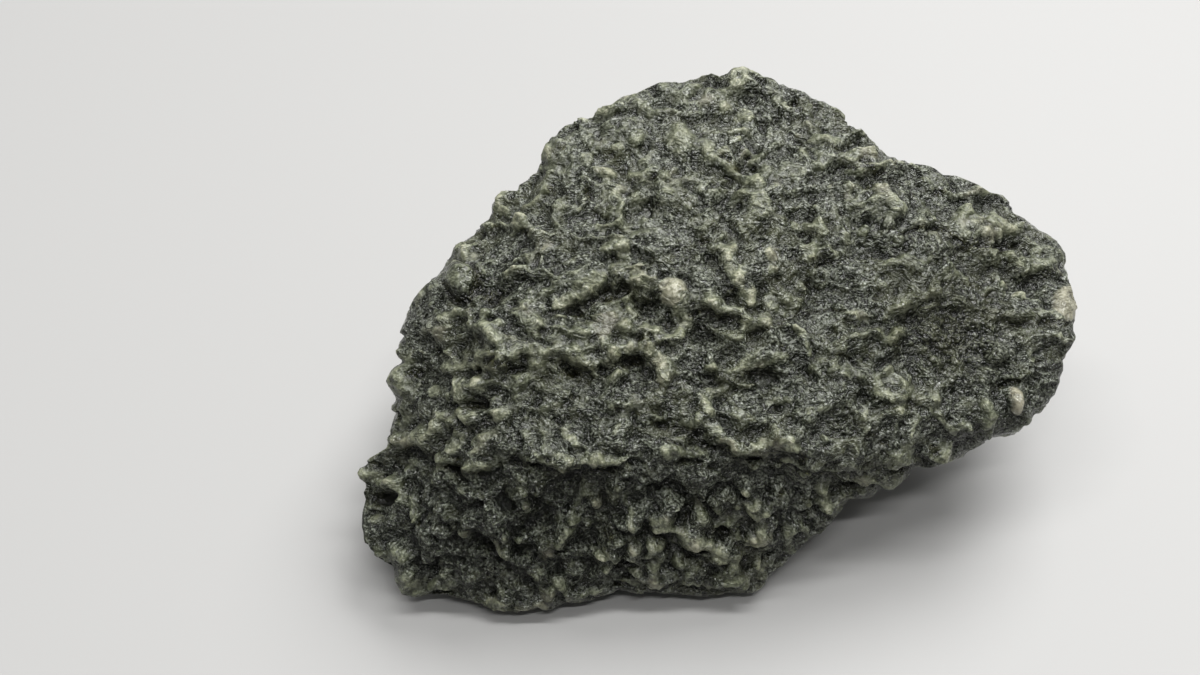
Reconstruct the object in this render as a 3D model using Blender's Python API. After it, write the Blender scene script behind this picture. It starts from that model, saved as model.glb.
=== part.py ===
"""Iron meteorite: one rough lump with a small flat spot underneath to rest on.

The form is drawn in a viewing frame that looks at the broad face of the lump:
u runs to the right, v runs up the face and w stands out of it.  Lengths are in
millimetres until the last step.  In space x runs along the lump, y towards its
back and z up, and at the end the origin is moved under the middle of the lump.
"""
import itertools
import math

import bmesh
import bpy
import numpy as np

NAME = "meteorite"
MM = 0.001

# Viewing frame: tilt of the line of sight, distance of the eye, point looked at
SIGHT_TILT = math.radians(50.0)
EYE_DISTANCE = 266.7
FRAME_CENTRE = np.array((-19.9, -7.1, 33.0))
AXIS_U = np.array((1.0, 0.0, 0.0))
AXIS_V = np.array((0.0, math.sin(SIGHT_TILT), math.cos(SIGHT_TILT)))
AXIS_W = np.array((0.0, -math.cos(SIGHT_TILT), math.sin(SIGHT_TILT)))

# Outline of the lump as (u, v), clockwise from the top knob
OUTLINE = (
    (23.0, 43.6), (25.5, 42.4), (28.5, 41.3), (30.0, 40.2), (32.7, 39.5), (34.0, 38.4),
    (36.0, 38.0), (38.7, 36.4), (40.2, 34.2), (41.8, 33.6), (44.0, 31.3), (46.0, 29.2),
    (50.0, 28.1), (53.0, 27.6), (55.0, 26.1), (57.0, 26.0), (60.5, 24.6), (62.5, 23.3),
    (64.5, 22.9), (65.8, 21.6), (66.2, 19.9), (68.3, 19.2), (70.0, 17.6), (73.5, 15.6),
    (74.7, 13.6), (74.6, 11.3), (75.7, 7.5), (76.7, 4.2), (76.2, 2.0), (76.4, -0.3),
    (74.7, -2.7), (74.3, -5.5), (73.0, -9.0), (71.5, -12.0), (69.0, -14.2), (66.5, -15.6),
    (62.5, -16.5), (60.0, -17.9), (57.7, -19.6), (54.0, -20.8), (52.5, -21.0), (50.2, -20.6),
    (49.6, -22.2), (47.0, -24.5), (44.5, -24.7), (43.3, -25.9), (40.2, -26.0), (38.0, -28.5),
    (35.5, -31.5), (34.0, -31.9), (32.0, -34.0), (29.8, -36.3), (27.5, -38.0), (26.5, -39.8),
    (24.0, -41.4), (21.0, -41.0), (16.5, -41.8), (12.0, -41.2), (7.0, -41.3), (3.0, -40.8),
    (0.5, -41.8), (-3.0, -42.7), (-6.5, -43.7), (-10.0, -43.9), (-15.0, -44.4), (-18.0, -43.9),
    (-21.0, -42.6), (-25.0, -41.5), (-28.0, -42.1), (-31.8, -41.4), (-33.2, -38.6),
    (-34.0, -36.6), (-36.3, -35.0), (-37.8, -33.0), (-38.4, -29.5), (-38.0, -24.0),
    (-39.0, -21.8), (-37.9, -19.8), (-34.8, -18.0), (-33.7, -15.0), (-32.9, -12.3),
    (-33.9, -11.7), (-33.0, -9.8), (-34.4, -7.0), (-32.8, -3.8), (-32.8, -1.0), (-31.7, 2.0),
    (-30.0, 6.2), (-28.0, 8.5), (-25.2, 11.0), (-23.3, 14.8), (-20.5, 16.5), (-18.3, 19.0),
    (-16.8, 22.6), (-15.8, 23.6), (-13.8, 23.8), (-10.2, 26.6), (-9.8, 28.5), (-8.4, 32.0),
    (-6.5, 33.3), (-3.8, 35.4), (-1.4, 35.5), (-0.5, 37.0), (1.8, 37.4), (3.5, 38.7),
    (6.0, 39.3), (9.5, 41.0), (13.5, 41.1), (17.5, 42.5), (19.3, 42.1), (21.5, 43.4),
)
OUTLINE_CENTRE = (19.0, -2.0)
OUTLINE_SOFTENING = math.radians(9.0)
EDGE_BANDS = (0.6, 0.88)
EDGE_GRIP = (12.0, 3.5)
EDGE_SLOTS = 300

# Depth of the rim at the outline's middle and per millimetre of u and v
RIM_DEPTH = -4.0
RIM_LEAN = (0.03, -0.22)

# Swell in front of and behind the rim: depth, fullness across and in depth, narrowing
FRONT_SWELL = (17.0, 0.62, 0.85, 0.0)
BACK_SWELL = (62.0, 0.50, 0.95, 0.28)

# Broken faces of the broad side: outward direction and a point, as (u, v, w)
FRONT_FACES = (
    ((0.02, 0.27, 0.96), (15.0, -20.0, 11.0)),
    ((0.04, 0.46, 0.89), (12.0, 17.0, 0.8)),
    ((0.05, -0.50, 0.86), (0.0, -21.0, 11.0)),
    ((0.22, 0.08, 0.97), (52.0, 0.0, 4.5)),
    ((-0.56, 0.06, 0.83), (-21.0, 2.0, 5.0)),
    ((-0.38, -0.42, 0.82), (-25.0, -28.0, 5.0)),
    ((0.30, -0.62, 0.72), (38.0, -24.0, 4.0)),
    ((-0.36, 0.55, 0.75), (-6.0, 27.0, -6.0)),
    ((0.32, 0.55, 0.77), (48.0, 24.0, -7.0)),
)

# Broken faces of the hidden sides: outward direction and a point, as (x, y, z)
HIDDEN_FACES = (
    ((0.55, 0.05, -0.83), (19.0, 0.0, 0.0)),
    ((0.42, -0.45, -0.79), (22.0, -22.0, 0.0)),
    ((-0.72, -0.05, -0.69), (-44.0, 0.0, 0.0)),
    ((0.05, 0.93, -0.37), (0.0, 24.0, 0.0)),
    ((0.62, 0.60, -0.50), (33.0, 20.0, 8.0)),
    ((-0.62, 0.66, -0.42), (-33.0, 18.0, 4.0)),
    ((0.10, 0.97, 0.22), (0.0, 41.0, 40.0)),
    ((-0.60, 0.75, 0.28), (-30.0, 27.0, 30.0)),
    ((0.66, 0.70, 0.25), (40.0, 27.0, 34.0)),
    ((0.26, 0.03, -0.97), (6.0, 0.0, 0.0)),
    ((-0.24, 0.02, -0.97), (-37.0, 0.0, 0.0)),
    ((0.02, -0.34, -0.94), (0.0, -29.0, 0.0)),
    ((-0.04, 0.26, -0.97), (0.0, 11.0, 0.0)),
)
REST_FACE = ((0.0, 0.0, -1.0), (0.0, 0.0, 0.0))

# Even skin over the broken faces: its step, the wear of its edges, its refinement
SKIN_STEP = 1.5
SKIN_WEAR = 7
SKIN_REFINEMENT = 1

# Ledges: height, then the line of the lip as (u, v) from left to right
LEDGES = (
    (2.6, ((-31, -17.5), (-27, -18.5), (-21, -20.5), (-16, -21), (-12, -20.5))),
    (3.2, ((-9, -20.5), (-5, -21), (0, -21), (3, -20.5))),
    (2.2, ((9, -14), (14, -15), (19, -17), (24, -18.4), (30, -18.8))),
    (1.6, ((28, -21), (33, -22), (38, -22), (44, -20.6), (51, -20.4))),
    (1.6, ((40, -24.3), (46, -24))),
    (2.8, ((-16, -3.6), (-12, -4.4), (-6, -4.9), (0, -4.5), (3, -3.6))),
    (2.2, ((-4, 5.2), (-1, 6.6), (2, 8.2), (4.5, 8.6), (7, 7.8))),
    (1.8, ((4, -2.4), (7, -2.6), (8.6, -4.2))),
    (1.4, ((14, 3.8), (17, 4.4), (21, 3.4), (25, 0.6))),
    (1.5, ((38, 15.8), (42, 16.8), (46, 16.6))),
    (2.4, ((48, 17), (51, 18.2), (54, 18.1), (56.5, 16), (60, 14.8), (66, 15.2))),
    (1.3, ((38, 28), (41, 27), (45.5, 26.4))),
    (1.4, ((2, 20), (5, 20.8), (9, 21.6))),
    (1.3, ((8, 24.2), (14, 24.4), (18, 24.3), (23, 25.6))),
    (1.5, ((18, -6), (22, -5.8), (28, -5.2))),
    (1.3, ((40, 3), (43, 1.2), (47, -0.8), (51, -0.6))),
    (1.3, ((49, 4.4), (54, 4.8), (59, 5))),
    (1.3, ((65, 3), (68, 2.4), (71, 3))),
    (1.3, ((56, -4.6), (61, -4.4), (66, -4))),
)
LIP_SOFTNESS = 0.9
LIP_REACH = (9.0, 4.5)
LIP_FADE = 2.5

# Ridges: width, height, then their line as (u, v)
RIDGES = (
    (1.5, 1.5, ((-32, -17.2), (-28.5, -16.8), (-26, -15.5), (-22.5, -12.6), (-20.5, -13))),
    (1.3, 1.4, ((-20.7, -13.5), (-21.6, -15.8), (-23.3, -18.6))),
    (1.6, 1.6, ((-37.5, -21.5), (-34, -22.5), (-32.3, -24), (-31.3, -26.5), (-30.5, -28.5))),
    (1.5, 1.2, ((-34.5, -34.2), (-32.5, -35.3), (-30.5, -34.8))),
    (1.7, 1.2, ((-33, -40), (-29, -40.8), (-25, -40.3))),
    (1.4, 1.3, ((-2.4, -26), (-3.5, -28.5), (-4.6, -30.6), (-6.8, -33), (-9, -35), (-9.8, -37.5))),
    (1.5, 1.3, ((8.5, -30.5), (10.5, -29.2), (12.5, -31), (14.5, -33.5), (17.5, -34.2), (21.5, -36))),
    (1.4, 1.2, ((16, -28), (18.4, -30.4), (22, -29.7))),
    (1.3, 1.3, ((24.5, -28), (25.2, -30), (25.6, -31.6))),
    (1.6, 1.3, ((-24, -5.2), (-21.5, -4.1), (-18.5, -4.2), (-16.5, -5.2))),
    (1.6, 1.4, ((-22.4, -9.8), (-22, -8.2), (-19.5, -8.4))),
    (1.7, 1.3, ((-6, 5), (-2, 7.6), (1, 9.8), (3.6, 11))),
    (1.4, 1.3, ((3, 14.6), (4.2, 11.8), (5.4, 9.3), (8, 7.6))),
    (1.7, 1.5, ((5.5, 4.5), (6.8, 2.2), (9.4, -0.4))),
    (1.9, 1.5, ((5, 1.8), (3.6, -0.6), (2.8, -3))),
    (1.9, 1.6, ((4.5, -2.2), (7.4, -1.8), (9.3, -3.6), (10, -6.4))),
    (1.6, 1.3, ((12.8, 3.6), (13, 1.4), (11.6, -0.2), (9.8, 0.8))),
    (1.5, 1.3, ((20, 14.2), (20.4, 11.4), (22, 8.8), (23.4, 6.2))),
    (1.3, 1.2, ((27.4, 13.4), (27.6, 10.6))),
    (1.4, 1.2, ((19.2, -8.6), (17.6, -9.4), (17.6, -12.4))),
    (1.4, 1.1, ((19.6, -7.8), (21.4, -5.4), (25, -4.4), (29, -3))),
    (1.4, 1.1, ((27, 5.2), (29.4, 4.2), (31.8, 6))),
    (1.5, 1.2, ((33, 14), (36, 14.9), (38.4, 13.8))),
    (1.6, 1.3, ((40, 22), (41.6, 20.4), (43.6, 20.6), (46, 19.4))),
    (1.6, 1.3, ((44.6, -8.8), (47.4, -9.7), (49.8, -8.5), (51.2, -9.4))),
    (1.4, 1.1, ((46.6, -6.4), (49.8, -8.3))),
    (1.6, 1.1, ((47, 3.4), (50, 5.6), (54, 6), (58, 6))),
    (1.5, 1.1, ((67, 11.8), (71, 11.6), (74, 13))),
    (1.4, 1.1, ((60.6, -10.4), (61.6, -13), (62.6, -15))),
)

# Lumps: middle (u, v), half width and half height, turn in degrees, height
LUMPS = (
    ((-22.4, 9.4), (2.1, 2.2), 20, 1.9),
    ((-22.0, 14.0), (1.8, 1.8), 0, 1.1),
    ((-33.0, -7.0), (2.0, 2.9), 0, 1.6),
    ((-37.6, -21.2), (1.7, 1.7), 0, 1.4),
    ((-31.0, -38.9), (2.3, 2.2), 0, 1.4),
    ((-16.4, -12.6), (2.4, 1.5), 10, 1.2),
    ((-20.0, -20.4), (1.7, 1.5), 0, 1.2),
    ((-7.0, -40.4), (3.2, 2.0), 0, 1.4),
    ((-16.0, -43.0), (2.0, 1.4), 0, 1.2),
    ((0.2, -34.2), (2.0, 1.4), 0, 1.2),
    ((12.0, -32.6), (3.2, 2.6), -20, 0.9),
    ((25.6, -33.2), (2.5, 1.8), 10, 1.7),
    ((20.5, -38.2), (3.0, 2.4), 0, 1.2),
    ((11.6, 6.8), (2.6, 2.3), -30, 1.9),
    ((2.0, 14.6), (2.4, 1.5), 0, 1.1),
    ((1.0, 27.3), (2.4, 1.8), 0, 1.0),
    ((13.0, 31.2), (3.6, 2.6), 0, 1.0),
    ((22.0, 41.0), (2.2, 2.4), 0, 1.3),
    ((-16.0, 22.0), (2.0, 1.8), 0, 1.2),
    ((-13.0, 18.7), (1.8, 1.5), 0, 1.2),
    ((-8.0, 29.6), (1.9, 1.5), 0, 0.9),
    ((34.8, 17.2), (2.4, 1.5), -10, 1.3),
    ((42.4, 29.2), (2.8, 1.6), -20, 1.0),
    ((36.0, 31.6), (2.8, 1.4), 0, 0.9),
    ((46.5, 1.0), (4.2, 2.2), 0, 1.1),
    ((24.8, 2.0), (3.0, 1.4), 0, 1.0),
    ((30.5, -18.0), (2.8, 1.3), 0, 1.1),
    ((58.5, 18.6), (2.8, 2.4), -30, 1.1),
    ((63.0, 17.6), (3.4, 2.0), -20, 1.1),
    ((60.5, 22.8), (2.0, 1.5), -20, 1.0),
    ((74.8, 5.2), (2.4, 3.4), 0, 1.2),
    ((66.6, -10.2), (1.7, 2.4), 0, 1.6),
    ((48.2, -18.3), (2.8, 1.8), 0, 1.1),
    ((55.2, -18.2), (2.6, 1.4), 0, 1.4),
    ((47.6, -22.8), (2.2, 1.6), 0, 1.2),
    ((36.0, -26.0), (1.6, 2.2), 0, 1.0),
    ((-24.5, -30.0), (4.6, 3.2), 20, 1.3),
    ((-15.0, -32.5), (3.8, 3.4), -20, 1.1),
    ((-21.0, -38.0), (3.4, 2.4), 0, 1.1),
    ((4.2, -29.5), (3.8, 3.0), 30, 1.2),
    ((6.8, -34.0), (3.0, 2.2), 0, 1.1),
    ((14.0, -37.8), (3.4, 2.0), 0, 1.0),
    ((31.6, -31.5), (2.0, 3.2), -30, 1.1),
)

# Hollows and pits: middle (u, v), half width and half height, turn in degrees, depth
HOLLOWS = (
    ((-35.0, -24.9), (3.0, 1.7), 0, 4.2),
    ((-17.8, 7.4), (4.2, 3.2), 10, 2.6),
    ((-29.6, -6.0), (2.6, 3.0), 0, 1.6),
    ((-19.6, -10.8), (2.8, 1.4), 0, 1.8),
    ((-5.0, -24.0), (6.5, 3.4), 0, 1.8),
    ((-16.5, -23.0), (5.5, 3.0), 0, 1.4),
    ((22.5, -21.6), (7.5, 3.6), -8, 1.8),
    ((3.6, -37.0), (2.6, 2.2), 0, 1.6),
    ((20.0, -32.4), (2.1, 1.9), 0, 1.8),
    ((6.2, -4.6), (2.4, 2.6), 0, 1.6),
    ((5.9, -0.6), (1.5, 1.2), 0, 1.2),
    ((6.6, 5.4), (3.0, 2.4), 0, 1.4),
    ((17.0, 1.4), (4.2, 3.0), 0, 1.3),
    ((21.0, 7.2), (1.8, 1.3), 0, 1.2),
    ((23.4, 27.0), (3.2, 1.7), 0, 1.5),
    ((28.4, 35.0), (3.4, 2.6), 20, 1.2),
    ((12.0, 20.0), (9.0, 4.5), 10, 1.0),
    ((43.0, 14.0), (6.5, 3.4), 0, 1.6),
    ((57.0, 1.0), (17.0, 13.0), -10, 3.0),
    ((62.0, 11.6), (4.6, 2.6), 0, 1.3),
    ((70.2, 9.4), (2.8, 1.8), 0, 1.3),
    ((27.0, -6.8), (3.6, 1.8), 8, 1.2),
    ((42.8, -9.6), (1.6, 2.6), -30, 1.4),
    ((65.0, -8.0), (3.0, 1.6), 30, 1.0),
    ((60.4, -13.4), (1.3, 2.2), 0, 1.2),
    ((48.0, -21.2), (2.2, 1.0), 5, 2.0),
    ((41.8, -24.9), (2.0, 1.0), 0, 1.6),
    ((36.0, -14.0), (7.0, 3.0), 0, 1.2),
    ((32.0, 7.0), (9.0, 5.0), 0, 0.9),
    ((-13.0, -38.4), (3.0, 2.2), 0, 1.4),
    ((-29.0, -33.5), (3.2, 2.6), 30, 1.2),
    ((-9.5, -29.5), (3.4, 3.0), 0, 1.4),
    ((12.0, -24.5), (5.0, 2.2), 0, 1.0),
    ((28.5, -36.6), (1.8, 2.2), 0, 1.0),
)

# Waver of the drawn lines: wavelength and width
WAVER = (4.5, 0.9)

# Random relief: wavelength and height of each swell, and its share on the broad side
SWELLS = ((27.0, 1.6, 0.6), (13.0, 1.1, 0.8), (7.0, 0.6, 1.0))
BREAKS = (17.0, 0.16)
KNOBS = (8.0, 0.9)
SEED = 4

REST_FADE = (0.4, 3.5)
FACES_LEFT = 9600


def from_view(u, v, w):
    """Places points of the viewing frame in space."""
    spread = 1.0 - w / EYE_DISTANCE
    return (FRAME_CENTRE + np.outer(u * spread, AXIS_U) + np.outer(v * spread, AXIS_V)
            + np.outer(w, AXIS_W))


def to_view(points):
    """Gives u, v and w of points in space, u and v as the eye sees them."""
    out = points - FRAME_CENTRE
    w = out @ AXIS_W
    grow = EYE_DISTANCE / (EYE_DISTANCE - w)
    return (out @ AXIS_U) * grow, (out @ AXIS_V) * grow, w


def ease(value, start, end):
    """Smooth step from 0 at the start to 1 at the end."""
    part = np.clip((value - start) / (end - start), 0.0, 1.0)
    return part * part * (3.0 - 2.0 * part)


def lottery(cells, seed):
    """Repeatable numbers from 0 to 1 for whole-number places of a grid."""
    mask = 0xFFFFFFFF
    key = (cells[..., 0] * 73856093) ^ (cells[..., 1] * 19349663) ^ (cells[..., 2] * 83492791)
    key = (key ^ (seed * 2654435761)) & mask
    for shift in (16, 15, 16):
        key = ((key ^ (key >> shift)) * 0x45D9F3B) & mask
    return (key & 0xFFFFFF) / 0xFFFFFF


def swell(points, size, seed):
    """Smooth random rise and fall, about -1 to 1, with the given wavelength."""
    spot = points / size
    cell = np.floor(spot).astype(np.int64)
    part = spot - cell
    fade = part ** 3 * (part * (part * 6.0 - 15.0) + 10.0)
    total = np.zeros(len(points))
    for corner in itertools.product((0, 1), repeat=3):
        slope = np.stack([lottery(cell + corner, seed + axis) * 2.0 - 1.0
                          for axis in range(3)], axis=1)
        weight = np.prod(np.where(corner, fade, 1.0 - fade), axis=1)
        total += weight * np.sum(slope * (part - corner), axis=1)
    return total * 1.7


def scattered(points, size, seed):
    """Nearest and second distances to scattered seeds, in seed spacings, and the nearest seed."""
    spot = points / size
    cell = np.floor(spot).astype(np.int64)
    first = np.full(len(points), 9.0)
    second = np.full(len(points), 9.0)
    nearest = np.zeros((len(points), 3))
    for step in itertools.product((-1, 0, 1), repeat=3):
        place = cell + step
        seat = place + np.stack([lottery(place, seed + axis) for axis in range(3)], axis=1)
        gap = np.linalg.norm(seat - spot, axis=1)
        closer = gap < first
        second = np.where(closer, first, np.minimum(second, gap))
        nearest[closer] = seat[closer]
        first = np.where(closer, gap, first)
    return first, second, nearest


def line_distance(u, v, line):
    """Distance to a line, the side it is on (1 to the left) and how far past its ends."""
    best = np.full(len(u), 1e9)
    side = np.ones(len(u))
    past = np.zeros(len(u))
    last = len(line) - 2
    for index, (start, end) in enumerate(zip(line[:-1], line[1:])):
        run = np.subtract(end, start).astype(float)
        length = math.hypot(*run)
        run /= length
        du = u - start[0]
        dv = v - start[1]
        along = du * run[0] + dv * run[1]
        over = np.zeros(len(u))
        if index == 0:
            over = np.maximum(over, -along)
        if index == last:
            over = np.maximum(over, along - length)
        on = np.clip(along, 0.0, length)
        gap = np.hypot(du - on * run[0], dv - on * run[1])
        closer = gap < best
        best = np.where(closer, gap, best)
        side = np.where(closer, np.where(dv * run[0] - du * run[1] < 0.0, -1.0, 1.0), side)
        past = np.where(closer, over, past)
    return best, side, past


def mound(u, v, middle, halves, turn, fullness):
    """Rounded mound of height 1 over an ellipse."""
    angle = math.radians(turn)
    du = u - middle[0]
    dv = v - middle[1]
    across = (du * math.cos(angle) + dv * math.sin(angle)) / halves[0]
    up = (dv * math.cos(angle) - du * math.sin(angle)) / halves[1]
    return np.clip(1.0 - across ** 2 - up ** 2, 0.0, None) ** fullness


def drawn_relief(u, v):
    """Height of the ledges, ridges, lumps and hollows drawn on the broad side."""
    height = np.zeros(len(u))
    waver = np.stack((u, v, np.zeros(len(u))), axis=1)
    u = u + WAVER[1] * swell(waver, WAVER[0], SEED + 90)
    v = v + WAVER[1] * swell(waver, WAVER[0], SEED + 93)
    for rise, line in LEDGES:
        gap, side, past = line_distance(u, v, line)
        above = np.exp(-gap / LIP_REACH[0])
        below = -0.55 * np.exp(-gap / LIP_REACH[1])
        step = ease(gap * side, -LIP_SOFTNESS, LIP_SOFTNESS)
        height += 0.6 * rise * (below + (above - below) * step) * np.exp(-(past / LIP_FADE) ** 2)
    for width, rise, line in RIDGES:
        gap = line_distance(u, v, line)[0]
        height += rise * np.clip(1.0 - (gap / width) ** 2, 0.0, None) ** 1.5
    for middle, halves, turn, rise in LUMPS:
        height += rise * mound(u, v, middle, halves, turn, 0.9)
    for middle, halves, turn, depth in HOLLOWS:
        height -= depth * mound(u, v, middle, halves, turn, 1.6)
    return height


def random_relief(points, hidden):
    """Height of the random relief; hidden is 1 on the hidden sides and 0 on the broad one."""
    height = np.zeros(len(points))
    bent = points + 3.0 * np.stack([swell(points, 15.0, SEED + 40 + axis)
                                    for axis in range(3)], axis=1)
    for index, (size, rise, share) in enumerate(SWELLS):
        height += rise * (share + (1.0 - share) * hidden) * swell(bent, size, SEED + 10 * index)
    size, slope = BREAKS
    seat = scattered(bent, size, SEED + 60)[2]
    lean = np.stack([lottery(np.floor(seat).astype(np.int64), SEED + 70 + axis) - 0.5
                     for axis in range(3)], axis=1)
    height += hidden * slope * 2.0 * np.sum(lean * (bent - seat * size), axis=1)
    size, rise = KNOBS
    first, second, _ = scattered(bent, size, SEED + 80)
    height += rise * (0.25 + 0.75 * hidden) * (ease(second - first, 0.0, 0.5) - 0.5)
    return height


def rim_radius(angle, softening):
    """Distance from the outline's middle to the outline, its small bays softened away."""
    line = np.array(OUTLINE) - OUTLINE_CENTRE
    turn = np.arctan2(line[:, 1], line[:, 0])
    order = np.argsort(turn)
    shifts = np.linspace(-1.0, 1.0, 9) * softening
    return np.mean([np.interp(angle + shift, turn[order], np.hypot(line[:, 0], line[:, 1])[order],
                              period=2.0 * math.pi) for shift in shifts], axis=0)


def pillow(ball):
    """Turns a unit ball, its pole towards the eye, into the lump before it is broken."""
    angle = np.arctan2(ball[:, 1], ball[:, 0])
    front = ball[:, 2] > 0.0
    depth, across, deep, narrowing = np.where(front, np.array(FRONT_SWELL)[:, None],
                                              np.array(BACK_SWELL)[:, None])
    reach = rim_radius(angle, OUTLINE_SOFTENING) * np.hypot(ball[:, 0], ball[:, 1]) ** across
    reach *= 1.0 - narrowing * np.abs(ball[:, 2])
    u = reach * np.cos(angle)
    v = reach * np.sin(angle)
    w = RIM_DEPTH + RIM_LEAN[0] * u + RIM_LEAN[1] * v
    w += np.sign(ball[:, 2]) * depth * np.abs(ball[:, 2]) ** deep
    return from_view(u + OUTLINE_CENTRE[0], v + OUTLINE_CENTRE[1], w)


def break_off(shape, direction, point):
    """Cuts the shape flat at a point and closes the cut."""
    everything = shape.verts[:] + shape.edges[:] + shape.faces[:]
    cut = bmesh.ops.bisect_plane(shape, geom=everything, plane_co=point, plane_no=direction,
                                 clear_outer=True)
    edges = [item for item in cut["geom_cut"] if isinstance(item, bmesh.types.BMEdge)]
    if edges:
        bmesh.ops.holes_fill(shape, edges=edges, sides=0)


def rough_block():
    """The lump broken into its broad faces, as an object."""
    shape = bmesh.new()
    bmesh.ops.create_icosphere(shape, subdivisions=6, radius=1.0)
    ball = np.array([vertex.co for vertex in shape.verts])
    for vertex, spot in zip(shape.verts, pillow(ball)):
        vertex.co = spot
    for direction, point in FRONT_FACES:
        outward = direction[0] * AXIS_U + direction[1] * AXIS_V + direction[2] * AXIS_W
        break_off(shape, outward, from_view(*np.array(point)[:, None])[0])
    for direction, point in HIDDEN_FACES + (REST_FACE,):
        break_off(shape, direction, point)
    mesh = bpy.data.meshes.new(NAME)
    shape.to_mesh(mesh)
    shape.free()
    block = bpy.data.objects.new(NAME, mesh)
    bpy.context.collection.objects.link(block)
    return block


def make_real(thing):
    """Turns the result of the object's modifiers into its own mesh."""
    graph = bpy.context.evaluated_depsgraph_get()
    old = thing.data
    mesh = bpy.data.meshes.new_from_object(thing.evaluated_get(graph))
    thing.modifiers.clear()
    thing.data = mesh
    bpy.data.meshes.remove(old)
    mesh.name = NAME


def cover_evenly(block):
    """Covers the block with an even mesh, wears its edges and refines it."""
    cover = block.modifiers.new("even skin", "REMESH")
    cover.mode = "VOXEL"
    cover.voxel_size = SKIN_STEP
    wear = block.modifiers.new("worn edges", "SMOOTH")
    wear.factor = 0.5
    wear.iterations = SKIN_WEAR
    finer = block.modifiers.new("finer skin", "SUBSURF")
    finer.levels = SKIN_REFINEMENT
    finer.render_levels = SKIN_REFINEMENT
    make_real(block)


def read_points(mesh, kind="co", of="vertices"):
    """The vertices' places or directions as rows of x, y and z."""
    items = getattr(mesh, of)
    flat = np.empty(len(items) * 3)
    items.foreach_get(kind, flat)
    return flat.reshape(-1, 3)


def write_points(mesh, points):
    mesh.vertices.foreach_set("co", points.ravel())
    mesh.update()


def fit_outline(points, softening, band, grip):
    """Moves the lump's edge, as the eye sees it, onto the outline.

    Only points in the outer band move, and those far in front of or behind the
    edge move less, so the bays of the outline do not run down the flanks.
    """
    u, v, w = to_view(points)
    u = u - OUTLINE_CENTRE[0]
    v = v - OUTLINE_CENTRE[1]
    angle = np.arctan2(v, u)
    radius = np.hypot(u, v)
    slot = (angle / (2.0 * math.pi) % 1.0 * EDGE_SLOTS).astype(int) % EDGE_SLOTS
    order = np.lexsort((radius, slot))
    ends = np.searchsorted(slot[order], np.arange(EDGE_SLOTS), side="right") - 1
    middles = (np.arange(EDGE_SLOTS) + 0.5) / EDGE_SLOTS * 2.0 * math.pi
    edge = np.interp(angle, middles, radius[order][ends], period=2.0 * math.pi)
    depth = np.interp(angle, middles, w[order][ends], period=2.0 * math.pi)
    wanted = rim_radius(angle, softening)
    hold = ease(radius / edge, band, 1.0) * np.exp(-((w - depth) / grip) ** 2)
    moved = radius * (1.0 + (wanted / edge - 1.0) * hold)
    stretch = np.minimum(moved, wanted) / radius
    return from_view(OUTLINE_CENTRE[0] + u * stretch, OUTLINE_CENTRE[1] + v * stretch, w)


def carve(lump):
    """Gives the even skin its relief and sets the lump on its flat spot."""
    mesh = lump.data
    points = fit_outline(read_points(mesh), OUTLINE_SOFTENING, EDGE_BANDS[0], EDGE_GRIP[0])
    write_points(mesh, points)
    outward = read_points(mesh, "vector", "vertex_normals")
    u, v, w = to_view(points)
    sight = FRAME_CENTRE + EYE_DISTANCE * AXIS_W - points
    sight /= np.linalg.norm(sight, axis=1)[:, None]
    facing = ease(np.sum(outward * sight, axis=1), 0.0, 0.35)
    height = facing * drawn_relief(u, v) + random_relief(points, 1.0 - facing)
    off_rest = ease(points[:, 2], *REST_FADE)
    points = points + outward * (height * off_rest)[:, None]
    points = fit_outline(points, 0.0, EDGE_BANDS[1], EDGE_GRIP[1])
    points[:, 2] = np.maximum(points[:, 2], 0.0)
    write_points(mesh, points)


def thin_out(lump, faces):
    """Leaves about the given number of triangles, most where the relief is sharp."""
    have = sum(len(face.vertices) - 2 for face in lump.data.polygons)
    fewer = lump.modifiers.new("fewer faces", "DECIMATE")
    fewer.ratio = faces / have
    make_real(lump)


def move_home(lump):
    """Moves the origin under the middle of the lump and turns millimetres into metres."""
    points = read_points(lump.data)
    low = points.min(axis=0)
    high = points.max(axis=0)
    home = np.array(((low[0] + high[0]) / 2.0, (low[1] + high[1]) / 2.0, 0.0))
    write_points(lump.data, (points - home) * MM)


def stone_material():
    """Dark granular grey-green with a dull waxy shine."""
    stone = bpy.data.materials.new("grey green stony crust")
    stone.use_nodes = True
    surface = stone.node_tree.nodes["Principled BSDF"]
    surface.inputs["Base Color"].default_value = (0.105, 0.112, 0.086, 1.0)
    surface.inputs["Roughness"].default_value = 0.55
    surface.inputs["Metallic"].default_value = 0.0
    return stone


for leftover in list(bpy.data.objects):
    bpy.data.objects.remove(leftover, do_unlink=True)

meteorite = rough_block()
cover_evenly(meteorite)
carve(meteorite)
thin_out(meteorite, FACES_LEFT)
move_home(meteorite)
meteorite.data.materials.append(stone_material())
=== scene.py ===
"""Iron meteorite: the looks of the one rough lump, over the CAD frame.

The crust is built from the same broken block, outline and drawn relief as the CAD solid, on a
finer skin with finer ridges, lumps and pits.  A viewing frame looks at the broad face: u runs
to the right, v up the face and w out of it, in millimetres.  In space x runs along the lump,
y towards its back and z up.
"""

import itertools
import math

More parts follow.
